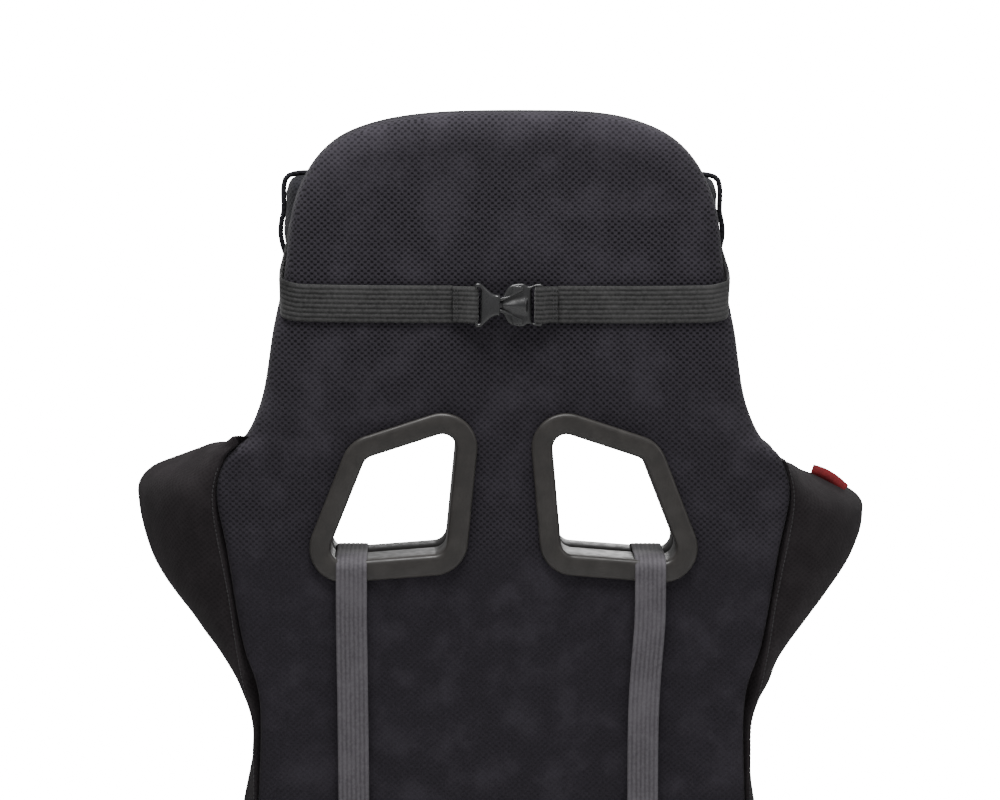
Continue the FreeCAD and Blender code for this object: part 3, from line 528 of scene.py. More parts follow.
def ribbed_elastic(name, low, high):
    """Knitted elastic: crosswise picks of thread between its lengthwise ribs, with the rib crests painted lighter
    as a painted highlight and the grooves darker as painted shade.
    """
    n = Nodes(name)
    u, v, crest = n.cloth()
    knit = n.times(n.times(n.wave(u, PICK), n.wave(v, PICK)), 0.22)
    # The rib crest lightens the colour: painted highlight on the crests, painted shade in the grooves between the
    # ribs.
    level = n.plus(n.plus(knit, n.times(n.noise(420, 3.0), 0.75)),
                   n.times(crest, 0.40))
    colour = n.mix(n.ramp(level, 0.0, 1.0, 0.34, 0.92), low, high)
    fade = n.ramp(n.noise(30, 3.0), 0.0, 0.4, 0.4, 0.75)
    colour = n.mix(fade, colour, tuple(c * 1.25 for c in high))
    return n.finish(colour, 0.78, n.bump(level, 0.0003, 0.7), Sheen_Weight=0.3, Sheen_Roughness=0.4)


def moulded(name, colour, rough, grain=0.00008, scale=1400.0, coat=0.0):
    """Moulded plastic or rubber with fine grain, handling marks and slightly uneven gloss."""
    n = Nodes(name)
    wear = n.noise(60, 4.0)
    tint = n.mix(n.ramp(wear, 0.0, 1.0, 0.35, 0.75), colour, tuple(c * 1.35 + 0.002 for c in colour))
    grain_height = n.noise(scale, 2.0)
    relief = n.bump(grain_height, grain, 0.6)
    gloss = n.ramp(n.noise(140, 3.0), rough - 0.07, rough + 0.09, 0.3, 0.7)
    return n.finish(tint, gloss, relief, Coat_Weight=coat, Coat_Roughness=0.12)


def metal(name, colour, rough, brushed=(1, 40, 1), marks=0.35):
    """Plated or bare steel with drawn lines, faint blotches and small scuffs."""
    n = Nodes(name)
    lines = n.noise(90, 3.0, stretch=brushed)
    blot = n.noise(18, 4.0)
    shade = tuple(c * (1 - marks) for c in colour)
    tint = n.mix(n.ramp(n.plus(n.times(lines, 0.5), n.times(blot, 0.5)),
                        0.0, 1.0, 0.35, 0.65), shade, colour)
    gloss = n.ramp(lines, rough - 0.08, rough + 0.12, 0.3, 0.7)
    return n.finish(tint, gloss, n.bump(lines, 0.00006, 0.5), metallic=1.0)


def powder_coat(name, colour):
    """Satin powder coat with orange peel and rubbed patches."""
    n = Nodes(name)
    peel = n.noise(650, 2.0)
    rub = n.ramp(n.noise(24, 5.0), 0.0, 1.0, 0.55, 0.8)
    tint = n.mix(rub, colour, tuple(c * 1.8 + 0.01 for c in colour))
    return n.finish(tint, n.ramp(rub, 0.42, 0.3), n.bump(peel, 0.00012, 0.5), Coat_Weight=0.15)


def woven_tape(name, colour):
    """Plain woven tape with a fine over-and-under thread."""
    n = Nodes(name)
    u, v = n.cloth()[:2]
    weave = n.times(n.wave(u, PICK), n.wave(v, PICK))
    level = n.plus(n.times(weave, 0.3), n.noise(300, 3.0))
    tint = n.mix(n.ramp(level, 0.0, 1.0, 0.2, 0.85), tuple(c * 0.6 for c in colour), colour)
    return n.finish(tint, 0.7, n.bump(level, 0.0002, 0.6), Sheen_Weight=0.2)


# Name of each material, its maker, and what the maker needs beside the name.
MATERIALS = {name: maker(name, *needs) for name, maker, *needs in (
    ("cover_cloth", woven_cloth, (0.0070, 0.0063, 0.0079), (0.058, 0.0522, 0.0645)),
    ("seat_cloth", woven_cloth, (0.0060, 0.0056, 0.0070), (0.032, 0.030, 0.036)),
    ("wing_cloth", woven_cloth, (0.0160, 0.0134, 0.0146), (0.041, 0.0357, 0.0384), 0.45, 0.03),
    ("pillow_cloth", woven_cloth, (0.0085, 0.0083, 0.0100), (0.026, 0.0255, 0.031), 0.8),
    ("strap_elastic", ribbed_elastic, (0.005, 0.005, 0.005), (0.068, 0.067, 0.067)),
    ("band_elastic", ribbed_elastic, (0.074, 0.068, 0.078), (0.145, 0.135, 0.151)),
    ("elastic_web", ribbed_elastic, (0.02, 0.02, 0.022), (0.06, 0.06, 0.063)),
    ("bezel_plastic", moulded, (0.037, 0.0338, 0.0316), 0.40, 0.00005, 1800.0),
    ("buckle_plastic", moulded, (0.026, 0.026, 0.027), 0.27, 0.00002, 900.0, 0.6),
    ("cover_plastic", moulded, (0.022, 0.022, 0.024), 0.48, 0.00018, 1100.0),
    ("slide_polymer", moulded, (0.72, 0.71, 0.67), 0.42),
    ("grip_rubber", moulded, (0.018, 0.018, 0.019), 0.72, 0.00025, 800.0),
    ("rail_steel", metal, (0.62, 0.63, 0.65), 0.34, (40, 1, 40)),
    ("plate_steel", metal, (0.52, 0.53, 0.55), 0.32, (1, 1, 30)),
    ("bolt_steel", metal, (0.20, 0.20, 0.21), 0.38, (8, 8, 8)),
    ("spring_steel", metal, (0.28, 0.28, 0.30), 0.30, (12, 12, 12)),
    ("frame_paint", powder_coat, (0.018, 0.018, 0.019)),
    ("tag_cloth", woven_tape, (0.42, 0.022, 0.030)),
    ("thread", woven_tape, (0.030, 0.029, 0.032)),
)}


def dress(piece, slot, body, *nodes, material=None):
    """Give a piece the material its slot names, or the one given instead, hang it on the body it rides on and hide
    the nodes it stands for.
    """
    piece.data.materials.clear()
    piece.data.materials.append(MATERIALS[material or slot])
    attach(piece, body)
    if nodes:
        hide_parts(*nodes)
    return piece


# ------------------------------------------------------------------- back panel and body

# Half outline of the back panel, from the hem up: half width, height.
PANEL = ((190, -40), (198, 20), (200, 90), (199, 200), (198, 300), (210, 341), (223, 420),
         (231, 471), (222, 497), (209, 509), (195, 539), (184.8, 598), (178, 630), (174.8, 650),
         (168, 698), (154, 729), (135, 748.5), (109, 760.5), (60, 769.5))
FOAM = ((158, -40), (157.5, 285), (175.5, 370), (189.5, 448), (195.5, 478), (203, 486), (216, 489),
        (220, 497), (208, 509)) + PANEL[10:]
CORE = {"top_in": (49.8, 504.3), "top_out": (103, 486.8), "low_out": (128.4, 422.6),
        "low_in": (57, 428.2)}
# How far the pads' holes stand outside the core outline of an opening.
HOLE_GROWTH = 15
# Depth of the panel's outer face, height of the head strap, place across of the lumbar bands.
REAR = -34
STRAP_H = 620
BAND_X = 118


def both_halves(half):
    """A closed outline from its right half."""
    return list(half) + [(-x, h) for x, h in reversed(half)]


def crown(ring):
    """The same outline with the head's top a little fuller on the right."""
    fuller = 2.6 * np.exp(-((ring[:, 0] - 95) / 55) ** 2) * smooth(690, 750, ring[:, 1])
    return ring + np.stack([0 * fuller, fuller], axis=1)


def core_ring(side, growth, arc=9):
    """Outline of a harness opening: the core polygon grown with round corners."""
    corners = [np.array((side * CORE[k][0], CORE[k][1]))
               for k in ("low_in", "low_out", "top_out", "top_in")]
    if side < 0:
        corners.reverse()
    ring = []
    for i, corner in enumerate(corners):
        before, after = corner - corners[i - 1], corners[(i + 1) % 4] - corner
        start = math.atan2(before[1], before[0]) - math.pi / 2
        turn = (math.atan2(after[1], after[0]) - math.pi / 2 - start) % (2 * math.pi)
        for k in range(arc + 1):
            angle = start + turn * k / arc
            ring.append(corner + growth * np.array((math.cos(angle), math.sin(angle))))
    return np.array(ring)


def roll_off(e, reach, fall):
    """How far a surface has dropped at a distance e inside its rounded edge."""
    q = np.clip(1 - e / reach, 0, 1)
    return fall * (1 - np.sqrt(1 - q * q))


def weave_shown(spots):
    """The open weave shows on the head, less on the upper back, and is pulled flat lower down."""
    high = 0.40 * smooth(398, 440, spots[:, 2]) + 0.28 * smooth(500, 620, spots[:, 2])
    return 0.12 + high - 0.18 * smooth(690, 750, spots[:, 2])


def panel_rear(x, h, e, hole):
    """Depth of the back panel's outer face."""
    free = np.maximum(smooth(496, 514, h), 1 - smooth(-34, 0, h))
    d = REAR + roll_off(e, 8 + 18 * free, 5 + 10 * free)
    d += 1.3 * (1 - smooth(11, 26, hole))
    d += 0.9 * np.exp(-((h - STRAP_H) / 16) ** 6) * smooth(0, 30, e)
    soft = smooth(4, 34, e) * smooth(14, 40, hole)
    d += 0.45 * soft * rumple(x, h, 75, 3.1)
    d += 0.55 * soft * (1 - smooth(380, 430, h)) * rumple(x * 1.4, h * 0.6, 34, 7.7)
    return d


def panel_front(x, h, e, hole):
    """Depth of the back panel's hidden inner face."""
    return np.maximum(-24, panel_rear(x, h, e, hole) + 2.4)


panel_ring = crown(smooth_line(both_halves(PANEL), 4.0, closed=True))
body_ring = crown(smooth_line(both_halves(FOAM), 4.5, closed=True))
holes = [core_ring(side, HOLE_GROWTH) for _, side in SIDES]
dress(sheet_pad("rear_panel", panel_ring, holes, panel_rear, panel_front, 5.0,
                (1.0, 2.2, 3.8, 6.0, 9.0), wall=((0.5, 0.3),), weave=weave_shown),
      "cover_cloth", "backrest", "rear_cover")


def body_rear(x, h, e, hole):
    return -16.2 - 5.3 * smooth(3, 22, e)


def body_front(x, h, e, hole):
    """Front face of the backrest: rolled edges, a fluted centre panel and its seams."""
    d = 30 - roll_off(e, 24, 13) - 1.2 * (1 - smooth(11, 26, hole))
    centre = 1 - smooth(96, 104, np.abs(x))
    low = smooth(20, 40, h) * (1 - smooth(395, 408, h))
    flute = np.abs((h - 30) % 62 - 31)
    d += centre * low * (2.5 - 6.5 * np.exp(-((31 - flute) / 3.2) ** 2))
    d -= 4.0 * np.exp(-((np.abs(x) - 100) / 2.6) ** 2) * smooth(0, 30, e) * (1 - smooth(380, 400, h))
    d += 0.5 * smooth(4, 30, e) * rumple(x, h, 45, 11.3)
    return d - 8 * (1 - smooth(-40, 20, h))


dress(sheet_pad("backrest_body", body_ring, holes, body_rear, body_front, 5.5,
                (1.2, 3.0, 5.5, 8.5, 12.5), wall=((0.06, 0.5), (0.3, 1.0), (0.6, 1.0), (0.92, 0.5)),
                weave=lambda spots: np.full(len(spots), 0.85)),
      "seat_cloth", "backrest", "backrest_foam")


# ------------------------------------------------------------------------------- wings

# Up the wing: height, seam, inner root, depth of its front edge, outer edge.
WING = ((70, 200, 160, 50, 219), (170, 200, 160, 85, 219), (250, 199.5, 158, 102, 207),
        (278, 200, 160, 108, 208.5), (299, 205, 164, 113, 219.5), (325, 210.5, 169, 117, 240),
        (351, 214.5, 173.5, 122, 265), (377, 218, 178, 128, 286), (403, 222.5, 182.5, 133, 300),
        (427, 227, 187, 135, 307), (442, 229.5, 190, 131, 306.5), (455, 231, 192.5, 119, 295),
        (468, 231, 195, 96, 269), (479, 229, 197, 67, 249), (486, 227, 199, 45, 241),
        (493, 224, 199.5, 14, 232), (499, 220.5, 200, -12, 225), (505, 214, 200, -20, 218))


def wing_rise(h, side):
    """How far a level of a wing sits above its drawn height: the two wings differ a little."""
    drop = 0.45 * smooth(478, 499, h) if side < 0 else 0.0
    return (13 if side < 0 else -5) * float(smooth(385, 465, h) * (1 - drop))


def wing_section(h, side):
    """One level ring of a wing: back seam, outer curve, front edge, inner face and hidden root."""
    rise = wing_rise(h, side)
    seam, root, depth, tip = [float(WING_AT[k](h)) for k in ("seam", "root", "depth", "tip")]
    seam = float(WING_AT["seam"](h + rise))
    seam += 0.3
    if side > 0:
        tip += 5 * math.exp(-((h - 412) / 45) ** 2)
    tip = max(tip, seam + 2.5)
    groove = REAR + 5.2
    edge_d = depth - min(26, 0.43 * (depth - REAR))
    ring = [(seam, groove), (seam + 0.9, groove - 2.6), (seam + 2.6, REAR + 0.9)]
    waist = math.exp(-((h - 304) / 12) ** 2) if side > 0 else 0.0
    for k in range(1, 25):
        t = k / 24
        angle = t * math.pi / 2
        bow_x = seam + 2.6 + (tip - seam - 2.6) * math.sin(angle)
        bow_d = REAR + 0.4 + (edge_d - REAR) * (1 - math.cos(angle))
        line_x = seam + 2.6 + (tip - seam - 2.6) * t
        line_d = REAR + 0.4 + (edge_d - REAR) * t
        x = 0.72 * bow_x + 0.28 * line_x
        d = 0.72 * bow_d + 0.28 * line_d
        crease = noise.noise(Vector((t * 2.1, h / 46, 5.0 + side))) * 1.7
        crease += noise.noise(Vector((t * 5.0, h / 15, 9.0 + side))) * 0.7
        puff = waist * 6.0 * math.sin(math.pi * min(1, t * 1.15)) ** 2
        hold = math.sin(math.pi * t) ** 0.7
        nx, nd = math.sin(angle * 0.9 + 0.1), -math.cos(angle * 0.9 + 0.1)
        ring.append((x + nx * (crease * hold + puff), d + nd * (crease * hold + puff * 0.4)))
    nose = min(24.0, (tip - root) * 0.28)
    lip = depth - edge_d
    for k in range(1, 13):
        angle = math.pi * k / 13
        ring.append((tip - nose * (1 - math.cos(angle)), edge_d + lip * math.sin(angle) ** 0.85))
    inner_x, inner_d = tip - 2 * nose, edge_d + 2
    foot_d = min(28.0, inner_d - 2)
    for k in range(1, 15):
        t = k / 15
        sag = math.sin(math.pi * t) * min(6.0, (inner_x - root) * 0.15)
        ring.append((inner_x + (root + 1 - inner_x) * t - sag, inner_d + (foot_d - inner_d) * t))
    for t in (0.0, 0.35, 0.7, 1.0):
        ring.append((root, max(foot_d - 3, -17) * (1 - t) - 18 * t))
    for t in (0.1, 0.5, 0.9):
        ring.append((root + (seam - root) * t, -23.5))
    return [(side * x, d, h + rise) for x, d in ring]


def wing(side, name):
    """A wing lofted through level rings, drawn in at its foot and closed at its top."""
    rings = []
    top = 505.5 if side < 0 else 499.5
    for h in np.concatenate([np.arange(70, 86, 2.0), np.arange(86, 440, 5.0), np.arange(440, top, 1.5)]):
        ring = wing_section(float(h), side)
        foot = roll_off(np.array(h - 70.0), 16, 12)
        if foot > 0:
            middle = np.mean(np.array(ring), axis=0)
            size = 1 - float(foot) / 90
            ring = [tuple(middle + (np.array(p) - middle) * (size, size, 1)) for p in ring]
        rings.append(ring)
    return loft(f"side_wing_{name}", rings, BACK, weave=lambda spots: np.full(len(spots), 0.5))


WING_AT = {key: table_line(WING, k) for k, key in enumerate(("seam", "root", "depth", "tip"), start=1)}
for name, side in SIDES:
    piece = dress(wing(side, name), "wing_cloth", "backrest", f"wing_{name}")
    line = [(side * (float(WING_AT["seam"](h)) + 2.9), REAR + 0.2, h) for h in np.arange(84, 490, 4.0)]
    dress(stitches(f"wing_stitches_{name}", line, 3.6, BACK, 0.38), "wing_cloth", "backrest",
          material="thread")


# ----------------------------------------------------------------------------- bezels

BEZEL = ((28.0, -33.6), (28.3, -35.0), (27.8, -36.7), (26.6, -37.7), (24.4, -38.2), (15.2, -38.2),
         (13.2, -37.7), (11.7, -36.4), (11.0, -34.4), (11.0, -2.9), (11.6, -2.5), (11.6, -1.5),
         (11.0, -1.1), (11.0, 30.4), (11.7, 32.4), (13.2, 33.7), (15.2, 34.2), (24.4, 34.2),
         (26.6, 33.7), (27.8, 32.7), (28.3, 31.0), (28.0, 29.6), (14.0, 29.6), (14.0, -33.6))


def bezel(side, name):
    """Moulded surround of a harness opening, swept round the opening's outline."""
    rings = [[(x, d, h) for x, h in core_ring(side, growth, 14)] for growth, d in BEZEL]
    return hoop(f"harness_bezel_{name}", rings, BACK)


for name, side in SIDES:
    dress(bezel(side, name), "bezel_plastic", "backrest", f"bezel_rear_{name}", f"bezel_front_{name}")


# ------------------------------------------------------------------------------ straps

def ribbon(name, path, across, width, thick, ribs, place, spacing=2.0):
    """A flat elastic strap with lengthwise ribs and slightly thin edges."""
    line = smooth_line(path, spacing)
    steps = ribs * 4
    face = []
    crest = []
    for k in range(steps + 1):
        a = -width / 2 + width * k / steps
        round_rib = abs(math.sin(math.pi * ribs * k / steps))
        edge = min(1.0, 0.5 + 4.0 * min(k, steps - k) / steps)
        face.append((a, thick / 2 * (0.62 + 0.38 * round_rib) * edge))
        crest.append(round_rib)
    profile = face + [(a, -b) for a, b in reversed(face)]
    crest = crest + crest[::-1]

    # Each profile point's rib crest is stored for the material, which paints the crests lighter as a painted
    # highlight and the grooves darker as painted shade.
    def shown(spots):
        return np.array([crest[k % len(crest)] for k in range(len(spots))])
    way = (lambda i: across(line[i])) if callable(across) else across
    return sweep(name, line, profile, way, place, weave=shown)


def head_strap(side, name):
    """Elastic from the buckle round the head's edge and up the cheek to the pillow."""
    path = [(42, -35.4, 620), (80, -35.5, 620), (120, -35.5, 620.2), (150, -35.3, 620.6),
            (166, -34.4, 621.2), (174, -31.8, 623), (178.4, -26, 626), (179.6, -15, 632.5),
            (178.2, 0, 641), (176.2, 16, 651), (174.6, 34, 661), (173.6, 50, 669), (171, 60, 674)]

    def tilt(spot):
        t = float(smooth(-34, -16, spot[1]))
        return np.array((0.0, -0.52 * t, 1 - 0.15 * t))
    return ribbon(f"head_strap_{name}_elastic", [(side * x, d, h) for x, d, h in path], tilt,
                  30, 1.8, 8, BACK)


for name, side in SIDES:
    body = "backrest"
    piece = dress(head_strap(side, name), "strap_elastic", body, f"head_strap_{name}")
    if side < 0:
        low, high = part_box("head_strap_left")
        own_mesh(piece)

FOLD = ((41.8, -35.7), (36, -35.8), (31, -36.1), (28.2, -37.0), (27.4, -39.8), (28.0, -42.6),
        (30.2, -43.7), (33.0, -42.9), (35.0, -40.2), (36.8, -38.0), (41.8, -37.5))


def strap_fold(name, side, shift):
    """End of the elastic, folded round a buckle bar and box-stitched to itself."""
    path = [(side * (x - shift * float(1 - smooth(33, 41, x))), d, STRAP_H) for x, d in FOLD]
    return ribbon(f"strap_fold_{name}", path, (0, 0, 1), 29, 1.6, 8, BACK, 0.8)


for name, side, shift, body in (("left", -1, 5.4, "buckle_tongue"), ("right", 1, 3.6, "backrest")):
    dress(strap_fold(name, side, shift), "strap_elastic", body, f"strap_end_{name}")
    rows = []
    for x in (38.2, 40.6):
        line = [(side * x, -38.3, STRAP_H + h) for h in np.linspace(-12.5, 12.5, 12)]
        rows.append(stitches(f"row_{x:.0f}", line, 2.4, BACK, 0.3))
    dress(joined(f"fold_stitches_{name}", rows), "strap_elastic", body, material="thread")


# ------------------------------------------------------------------------------ buckle

def mirrored(points, middle=STRAP_H):
    """A closed outline from its upper half, mirrored about a height."""
    upper = [(x, middle + h) for x, h in points]
    lower = [(x, middle - h) for x, h in reversed(points) if h > 0.01]
    return upper + lower


def rounded_box(low_x, high_x, low_h, high_h, radius, steps=5):
    """A rounded rectangle as a closed ring."""
    ring = []
    for cx, ch, start in ((high_x - radius, low_h + radius, -90), (high_x - radius, high_h - radius, 0),
                          (low_x + radius, high_h - radius, 90), (low_x + radius, low_h + radius, 180)):
        for k in range(steps + 1):
            angle = math.radians(start + 90 * k / steps)
            ring.append((cx + radius * math.cos(angle), ch + radius * math.sin(angle)))
    return np.array(ring)


def crowned(low, high, reach, fall):
    """Depth functions of a plate with rounded rims."""
    def rear(x, h, e, hole):
        return low + roll_off(np.minimum(e, hole), reach, fall)

    def front(x, h, e, hole):
        return high - roll_off(np.minimum(e, hole), reach, fall)
    return rear, front


def moulding(name, outline, holes, depths, step=1.0, rings=(0.25, 0.6, 1.1), place=BACK):
    """A small moulded plate with rounded rims."""
    return sheet_pad(name, outline, holes, *depths, step, rings, wall=((0.5, 0.1),), place=place)


MALE = ((-24.5, 14.6), (-24.2, 16.8), (-22.5, 17.8), (-20.0, 17.5), (-17.5, 15.6), (-14.4, 12.6),
        (-10.4, 9.4), (-6.4, 8.2), (-4.5, 8.4), (-4.3, 6.0))
SHELL = ((-3.6, 0.0), (-3.0, 4.0), (-1.0, 8.0), (1.0, 12.0), (3.5, 15.0), (7.0, 16.6), (14.5, 17.0),
         (17.0, 15.4), (20.5, 15.2), (24.0, 16.6), (28.0, 17.0), (29.5, 16.0), (30.0, 14.0))
PRONG = ((-4.5, 5.6), (0.5, 6.8), (4.4, 8.6), (5.2, 11.6), (5.6, 14.4), (7.2, 15.7), (9.2, 15.4),
         (10.2, 15.9), (11.4, 15.3), (12.4, 15.5), (14.0, 13.6), (13.8, 11.8), (9.0, 9.4), (2.6, 5.6),
         (-4.5, 3.4))

male_ring = smooth_line(mirrored(MALE), 0.9, closed=True)
male = moulding("male_frame", male_ring, [rounded_box(-22.6, -19.8, 605.6, 634.4, 1.2)],
                crowned(-45, -36.4, 2.6, 2.2))
tongue = moulding("male_tongue", rounded_box(-6, 17.5, 617.2, 622.8, 1.2), [], crowned(-42, -39, 1, 0.6))
dress(joined("buckle_male_half", [male, tongue]), "buckle_plastic", "buckle_tongue", "buckle_male")
arms = []
for way in (1, -1):
    ring = smooth_line([(x, STRAP_H + way * h) for x, h in PRONG], 0.6, closed=True)
    arms.append(moulding(f"arm_{way}", ring, [], crowned(-43.4, -37.8, 1.4, 1.0), 0.8, (0.2, 0.5)))
dress(joined("buckle_spring_arms", arms), "buckle_plastic", "buckle_tongue", "buckle_prongs")
shell_ring = smooth_line(mirrored(SHELL), 0.9, closed=True)


def shell_rear(x, h, e, hole):
    """Flat shell with a raised arrowhead that points at the other half."""
    half_wide = 8.2 * np.sqrt(np.clip((x + 4.4) / 22, 0, 1))
    arrow = smooth(-1.2, 7.0, half_wide - np.abs(h - STRAP_H)) * (1 - smooth(15.5, 18.5, x))
    return -41.4 - 3.6 * arrow + roll_off(np.minimum(e, hole), 2.0, 1.6) * (1 - 0.4 * arrow)


dress(moulding("buckle_female_half", shell_ring, [rounded_box(20.8, 24.6, 605.6, 634.4, 1.4)],
               (shell_rear, crowned(-45, -36.4, 1.6, 1.2)[1])),
      "buckle_plastic", "backrest", "buckle_female")


# --------------------------------------------------------------------- lumbar bands

for name, side in SIDES:
    top, waist, foot = (122.6, 121.6, 120) if side < 0 else (118.4, 114.2, 116)
    front = ((35.4, 380), (35.4, 300), (35.4, 140), (35.3, 20), (33, -30), (20, -42.6), (-10, -43),
             (-30, -42), (-38.4, -30), (-39.4, 0))
    over = ((-39.4, 365), (-39.7, 398), (-38.2, 409.6), (-30, 414.4), (-4, 415.2), (24, 415.0),
            (33.6, 409.4))
    path = [(BAND_X, *spot) for spot in front] + [(foot, -39.4, 120), (waist, -39.4, 290)]
    path += [(top, *spot) for spot in over] + [(BAND_X, 35.6, 398), (BAND_X, 35.4, 380)]
    band = ribbon(f"lumbar_band_{name}", [(side * x, d, h) for x, d, h in path], (1, 0, 0), 25, 1.6, 7,
                  BACK, 3.0)
    dress(band, "strap_elastic", "backrest", f"lumbar_strap_{name}", material="band_elastic")
    ring = rounded_box(side * BAND_X - 16, side * BAND_X + 16, 150, 180, 3.5)
    gaps = [rounded_box(side * BAND_X - 13, side * BAND_X + 13, low, low + 8, 1.5) for low in (154, 168)]
    dress(moulding(f"band_slider_{name}", ring, gaps, crowned(-42.4, -40.6, 1.4, 0.8), 1.6, (0.3, 0.8)),
          "buckle_plastic", "backrest", f"strap_slider_{name}")


# -------------------------------------------------------------------- loose cushions

def filled(name, half_ring, middle, half_deep, reach, place, waves=0.0, seed=1.0):
    """A stuffed cushion: two crowned faces that meet at a seam round its outline."""
    ring = smooth_line(half_ring, 5.0, closed=True)

    def swell(x, h, e):
        q = np.clip(1 - e / reach, 0, 1)
        body = half_deep * np.sqrt(np.maximum(0, 1 - q ** 2.1))
        pucker = np.exp(-e / 20) * rumple(x, h, 13, seed) * waves * smooth(0, 6, e)
        sag = rumple(x, h, 60, seed + 4) * 1.6 * smooth(0, 30, e)
        return np.maximum(0.7, body + pucker + sag)
    return sheet_pad(name, ring, [], lambda x, h, e, o: middle - swell(x, h, e),
                     lambda x, h, e, o: middle + swell(x, h, e), 6.0, (0.8, 2.0, 4.0, 7.0, 11.0, 16.0),
                     wall=((0.5, 0.5),), place=place)


def inflate(piece, cap, pressure=3.0, frames=16, cell=0.006):
    """Blow a cushion up as cloth, no point moving further than the cap, and keep the result."""
    modifier = piece.modifiers.new("Remesh", "REMESH")
    modifier.mode = "VOXEL"
    modifier.voxel_size = cell
    bpy.context.view_layer.objects.active = piece
    bpy.ops.object.modifier_apply(modifier="Remesh")
    start = np.zeros(len(piece.data.vertices) * 3)
    piece.data.vertices.foreach_get("co", start)
    cloth = piece.modifiers.new("Cloth", "CLOTH")
    cloth.settings.use_pressure = True
    cloth.settings.uniform_pressure_force = pressure
    cloth.settings.effector_weights.gravity = 0
    cloth.settings.tension_stiffness = 22
    cloth.settings.compression_stiffness = 22
    cloth.settings.bending_stiffness = 0.35
    cloth.point_cache.frame_end = frames
    scene = bpy.context.scene
    for number in range(1, frames + 1):
        scene.frame_set(number)
    blown = piece.evaluated_get(bpy.context.evaluated_depsgraph_get())
    after = np.zeros(len(start))
    blown.data.vertices.foreach_get("co", after)
    piece.modifiers.remove(cloth)
    scene.frame_set(1)
    move = (after - start).reshape(-1, 3)
    far = np.linalg.norm(move, axis=1)
    move *= np.minimum(1, cap / np.maximum(far, 1e-9))[:, None]
    piece.data.vertices.foreach_set("co", (start.reshape(-1, 3) + move).ravel())
    piece.data.update()
    subdivide = piece.modifiers.new("Subdivision", "SUBSURF")
    subdivide.levels = subdivide.render_levels = 1
    bpy.context.view_layer.objects.active = piece
    bpy.ops.object.modifier_apply(modifier="Subdivision")
    return piece


def recloth(piece, place):
    """Lay the cloth coordinates again on a mesh whose points have changed."""
    piece.data.transform(place.inverted())
    lay_cloth(piece.data)
    piece.data.transform(place)
    piece.data.polygons.foreach_set("use_smooth", [True] * len(piece.data.polygons))


PILLOW = ((110, 589), (150, 594), (163, 606), (170, 625), (174, 641), (179.5, 654), (182.3, 668),
          (181.4, 678), (179.6, 686), (179.6, 705), (177.5, 713), (169, 716), (110, 714.5),
          (50, 715.5))
LUMBAR = ((128, 152), (145, 160), (147.5, 190), (144, 247), (147.5, 305), (144, 334), (126, 343),
          (60, 338))


def tube(name, path, radius, place, closed=True, sides=8, up=(0, 1, 0)):
    """A thin round cord along a path."""
    profile = [(radius * math.cos(2 * math.pi * k / sides), radius * math.sin(2 * math.pi * k / sides))
               for k in range(sides)]
    return sweep(name, path, profile, up, place, closed=closed)


for name, half, node, deep in (("head_pillow_soft", PILLOW, "head_pillow", (73, 36)),
                               ("lumbar_pad_soft", LUMBAR, "lumbar_cushion", (67.5, 28))):
    piece = filled(name, both_halves(half), *deep, 46, BACK, waves=2.6, seed=len(name))
    inflate(piece, 0.006)
    recloth(piece, BACK)
    dress(piece, "pillow_cloth", "backrest", node)
    ring = smooth_line(both_halves(half), 4.0, closed=True)
    path = [(x + n[0] * 1.2, deep[0], h + n[1] * 1.2) for (x, h), n in zip(ring, outward(ring))]
    dress(tube(f"{name}_piping", path, 2.2, BACK), "pillow_cloth", "backrest")


# -------------------------------------------------------------------------- seat base

SEAT_SIDE = ((-128, 94), (-128, 120), (-126, 150), (-116, 158), (-60, 160.5), (0, 164), (60, 169.5),
             (130, 178.5), (200, 187.5), (245, 188.5), (268, 182), (284, 164), (290, 140), (287, 116),
             (276, 98), (262, 92), (180, 92), (60, 92), (-60, 92))
BOLSTER = ((-92, 186, 220), (-70, 202, 229), (-20, 222, 234.5), (60, 231, 235.5), (150, 237, 236),
           (215, 231, 235.5), (250, 222, 233.5), (275, 204, 229), (287, 188, 224))


def seat_cushion():
    """Seat foam in its cover, lofted across the seat, with sewn channels along and across."""
    side = smooth_line(SEAT_SIDE, 4.5, closed=True)
    middle = side.mean(axis=0)
    rings = []
    for x in np.linspace(-149.6, 149.6, 95):
        inset = 1 - float(roll_off(np.array(150.0 - abs(x)), 16, 7.5)) / 70
        ring = []
        for y, z in side:
            top = float(smooth(125, 156, z))
            py, pz = middle[0] + (y - middle[0]) * (0.5 + 0.5 * inset), middle[1] + (z - middle[1]) * inset
            crown = 3.0 * math.cos(math.pi * min(1, abs(x) / 150) / 2)
            groove = 5.0 * math.exp(-((abs(x) - 82) / 2.8) ** 2)
            for seam in (-40, 55, 150):
                if abs(x) < 82:
                    groove = max(groove, 4.5 * math.exp(-((y - seam) / 3.2) ** 2))
            soft = noise.noise(Vector((x / 50, y / 50, 2.0))) * 1.4
            ring.append((x, py, pz + top * (crown - groove + soft)))
        rings.append(ring)
    return loft("seat_cushion", rings, ROW)


# Points in each ring of a bolster.
RING_POINTS = 70


